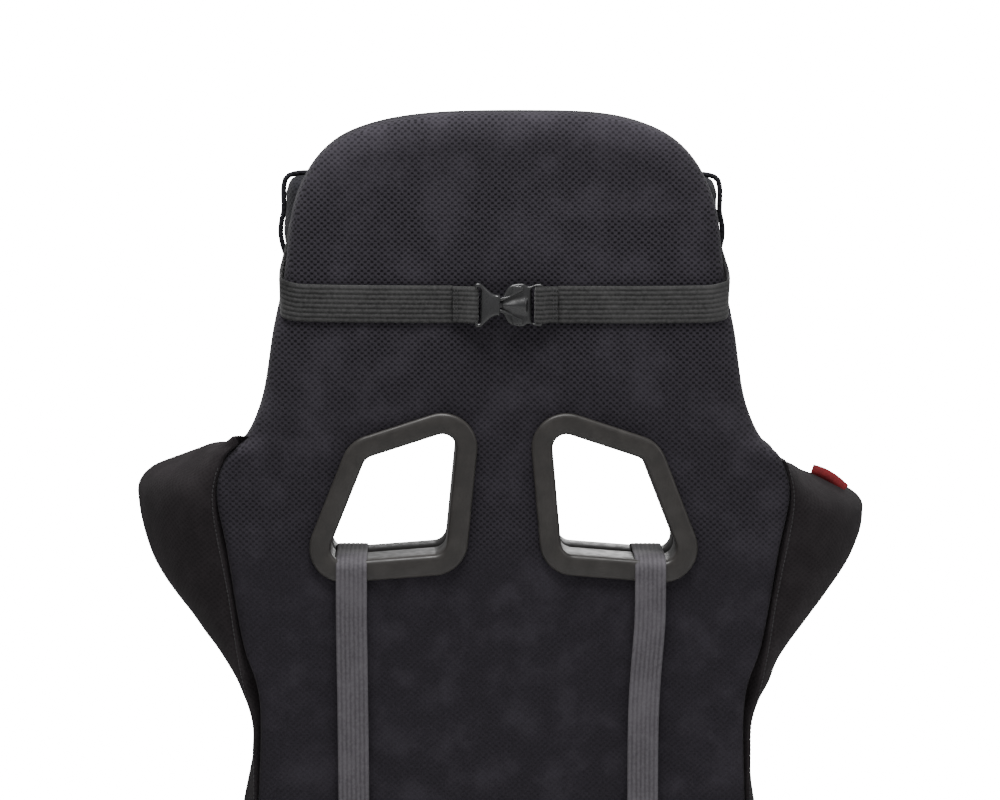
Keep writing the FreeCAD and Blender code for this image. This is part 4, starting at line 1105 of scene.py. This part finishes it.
def bolster(side, name):
    """Side bolster of the seat cushion, lofted fore and aft with closed, rounded ends."""
    crest_at, outer_at = table_line(BOLSTER, 1), table_line(BOLSTER, 2)
    rings = []
    for y in np.linspace(-96, 290, 90):
        crest, outer = float(crest_at(y)), float(outer_at(y))
        near_end = min(y + 96, 290 - y)
        size = 1 - float(roll_off(np.array(near_end), 14, 12)) / 60
        corners = [(150.6, 94), (150.6, crest - 52), (153, crest - 40), (168, crest - 22),
                   (outer - 42, crest - 5), (outer - 24, crest), (outer - 9, crest - 7),
                   (outer - 1.5, crest - 24), (outer, crest - 50), (outer - 1, 110), (outer - 7, 93),
                   (190, 92)]
        ring = smooth_line(corners, 4.0, closed=True)
        girth = np.linalg.norm(np.diff(np.vstack([ring, ring[:1]]), axis=0), axis=1).sum()
        ring = even_line(ring, girth / RING_POINTS, closed=True)[:RING_POINTS]
        middle = ring.mean(axis=0)
        placed = []
        for x, z in ring:
            soft = noise.noise(Vector((x / 30, y / 34, z / 40 + side))) * 1.3
            gap = np.array((x, z)) - middle
            px, pz = middle + gap * (size + soft / 60)
            placed.append((side * max(px, 150.4), y, max(pz, 91.6)))
        rings.append(placed)
    return loft(f"seat_bolster_{name}", rings, ROW, weave=lambda spots: np.full(len(spots), 0.5))


dress(seat_cushion(), "seat_cloth", "seat_base", "base_foam")
for name, side in SIDES:
    dress(bolster(side, name), "wing_cloth", "seat_base", f"base_bolster_{name}")

bands = [ribbon(f"band_{k}", [(x, -87.5 + 85 * k, 85.8 - 2.2 * math.cos(x / 206 * math.pi / 2))
                             for x in np.linspace(-206, 206, 9)], (0, 1, 0), 45, 2.2, 9, ROW, 8.0)
         for k in range(4)]
dress(joined("seat_elastic_bands", bands), "elastic_web", "seat_base", "seat_webbing")
bands = [ribbon(f"band_{k}", [(x, -10.8, 165 + 50 * k) for x in np.linspace(-166, 166, 7)],
                (0, 0, 1), 36, 2.2, 8, BACK, 8.0) for k in range(4)]
dress(joined("back_elastic_bands", bands), "elastic_web", "backrest", "back_webbing")


def turned(name, profile, start, place, sides=48):
    """A lathe-turned skin about a line along X, from (x, radius) pairs."""
    rings = []
    for x, radius in profile:
        rings.append([(start[0] + x, start[1] + radius * math.cos(2 * math.pi * k / sides),
                       start[2] + radius * math.sin(2 * math.pi * k / sides)) for k in range(sides)])
    return loft(name, rings, place)


low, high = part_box("release_grip")
length = (high[0] - low[0]) / MM
centre = [c / MM for c in ((low[0]), (low[1] + high[1]) / 2, (low[2] + high[2]) / 2)]
profile = [(0, 5.4), (0.2, 9.5), (1.2, 11.4), (3, 12), (6, 12)]
for k in range(18):
    x = 9 + k * (length - 18) / 17
    profile += [(x - 1.6, 11.9), (x - 1.0, 11.1), (x + 1.0, 11.1), (x + 1.6, 11.9)]
profile += [(length - 6, 12), (length - 3, 12), (length - 1.2, 11.4), (length - 0.2, 9.5), (length, 5.4)]
dress(turned("release_bar_grip", profile, centre, ROW), "grip_rubber", "release_bar", "release_grip")

low, high = [[c / MM for c in corner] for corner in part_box("lever_grip")]
rings = []
for y in np.linspace(low[1], high[1], 70):
    along = (y - low[1]) / (high[1] - low[1])
    near_end = min(y - low[1], high[1] - y)
    size = 1 - float(roll_off(np.array(near_end), 8, 5)) / 9
    dent = 0.8 * math.cos(2 * math.pi * along * 4) * float(smooth(8, 20, near_end))
    ring = []
    for k in range(40):
        angle = 2 * math.pi * k / 40
        cx, cz = math.cos(angle), math.sin(angle)
        px = abs(cx) ** 0.6 * math.copysign(1, cx) * (high[0] - low[0]) / 2 * size
        pz = abs(cz) ** 0.6 * math.copysign(1, cz) * ((high[2] - low[2]) / 2 * size - 0.8)
        ring.append(((low[0] + high[0]) / 2 + px, y, (low[2] + high[2]) / 2 + pz + (dent if cz < 0 else 0)))
    rings.append(ring)
dress(loft("recline_lever_grip", rings, ROW), "grip_rubber", "recline_handle", "lever_grip")

low, high = [[c / MM for c in corner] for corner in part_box("lever_spring")]
middle = ((low[1] + high[1]) / 2, (low[2] + high[2]) / 2)
turns = 5
coil = [(low[0] + 0.7 + (high[0] - low[0] - 1.4) * t / (turns * 24),
         middle[0] + 7.9 * math.cos(2 * math.pi * t / 24), middle[1] + 7.9 * math.sin(2 * math.pi * t / 24))
        for t in range(turns * 24 + 1)]
dress(tube("lever_return_coil", coil, 0.6, ROW, closed=False, up=(1, 0, 0)), "spring_steel", "seat_base",
      "lever_spring")

# Section of the tag: height above the wing's edge, depth.
TAG_EDGE = ((-3, -0.7), (1, -0.8), (5.4, -0.8), (6.2, 0), (5.4, 0.8), (1, 0.8), (-3, 0.7))
tag_path = smooth_line([(261, 66, 469), (270, 66.5, 466), (280, 67.5, 460), (289, 69, 452)], 1.5)
rings = []
for i, spot in enumerate(tag_path):
    ahead = tag_path[min(i + 1, len(tag_path) - 1)] - tag_path[max(i - 1, 0)]
    up = np.array((-ahead[2], 0, ahead[0]))
    up /= np.linalg.norm(up)
    rings.append([tuple(spot + up * rise + np.array((0, deep, 0))) for rise, deep in TAG_EDGE])
dress(loft("wing_tag", rings, BACK), "tag_cloth", "backrest", "side_tag")


# ------------------------------------------------------------------ carried-over CAD nodes

for item in frame["record"]["subparts"]:
    node = frame["nodes"][item["node"]]
    if node.hide_render:
        continue
    node.data.materials.clear()
    node.data.materials.append(MATERIALS[item["material_slot"]])
    if item["material_slot"] in ("frame_paint", "cover_plastic", "plate_steel", "rail_steel"):
        bevel = node.modifiers.new("Edges", "BEVEL")
        bevel.width = 0.0007
        bevel.segments = 2
        bevel.limit_method = "ANGLE"
        bevel.angle_limit = math.radians(38)
        bevel.harden_normals = False


# ----------------------------------------------------------------- stage, lights, camera

def pale_floor(reach, sides):
    """A plain pale floor, round so that no corner of it shows."""
    mesh = bpy.data.meshes.new("floor")
    angles = [2 * math.pi * k / sides for k in range(sides)]
    mesh.from_pydata([(reach * math.cos(a), reach * math.sin(a), 0) for a in angles], [],
                     [tuple(range(sides))])
    floor = bpy.data.objects.new("floor", mesh)
    bpy.context.scene.collection.objects.link(floor)
    n = Nodes("floor")
    n.finish((0.86, 0.86, 0.86), 0.6)
    mesh.materials.append(n.made)


def studio_world(light, seen):
    """A plain white surround: how much it lights the seat, and how bright it looks behind it."""
    world = bpy.data.worlds.new("studio")
    bpy.context.scene.world = world
    world.use_nodes = True
    tree = world.node_tree
    path = tree.nodes.new("ShaderNodeLightPath")
    level = tree.nodes.new("ShaderNodeMapRange")
    level.inputs["To Min"].default_value = light
    level.inputs["To Max"].default_value = seen
    tree.links.new(path.outputs["Is Camera Ray"], level.inputs["Value"])
    tree.nodes["Background"].inputs["Color"].default_value = (1, 1, 1, 1)
    tree.links.new(level.outputs[0], tree.nodes["Background"].inputs["Strength"])


def lamp(name, spot, aim, size, power):
    """A soft rectangular studio light."""
    light = bpy.data.lights.new(name, "AREA")
    light.shape = "RECTANGLE"
    light.size, light.size_y = size
    light.energy = power
    item = bpy.data.objects.new(name, light)
    item.location = spot
    item.rotation_mode = "QUATERNION"
    item.rotation_quaternion = (Vector(aim) - Vector(spot)).to_track_quat("-Z", "Y")
    bpy.context.scene.collection.objects.link(item)


pale_floor(reach=3.4, sides=96)
studio_world(light=0.30, seen=18.0)
lamp("key", (-0.15, -0.8, 1.75), (0, -0.35, 0.8), (0.9, 0.5), 20)
lamp("side", (2.2, -1.2, 1.6), (0, -0.3, 0.7), (1.2, 1.8), 9)
lamp("front", (0.8, 2.6, 2.0), (0, 0, 0.4), (2.0, 1.6), 30)

target = BACK @ Vector((-3.7, REAR, 543))
AZIMUTH, ELEVATION, DISTANCE, LENS = math.radians(-1.5), math.radians(-4), 2.3, 103.5
camera = bpy.data.cameras.new("camera")
camera.lens = LENS
camera.sensor_width = 36
viewer = bpy.data.objects.new("camera", camera)
back = Vector((math.sin(AZIMUTH) * math.cos(ELEVATION), -math.cos(AZIMUTH) * math.cos(ELEVATION),
               math.sin(ELEVATION)))
viewer.location = target + back * DISTANCE
viewer.rotation_mode = "QUATERNION"
viewer.rotation_quaternion = (-back).to_track_quat("-Z", "Y")
bpy.context.scene.collection.objects.link(viewer)
bpy.context.scene.camera = viewer
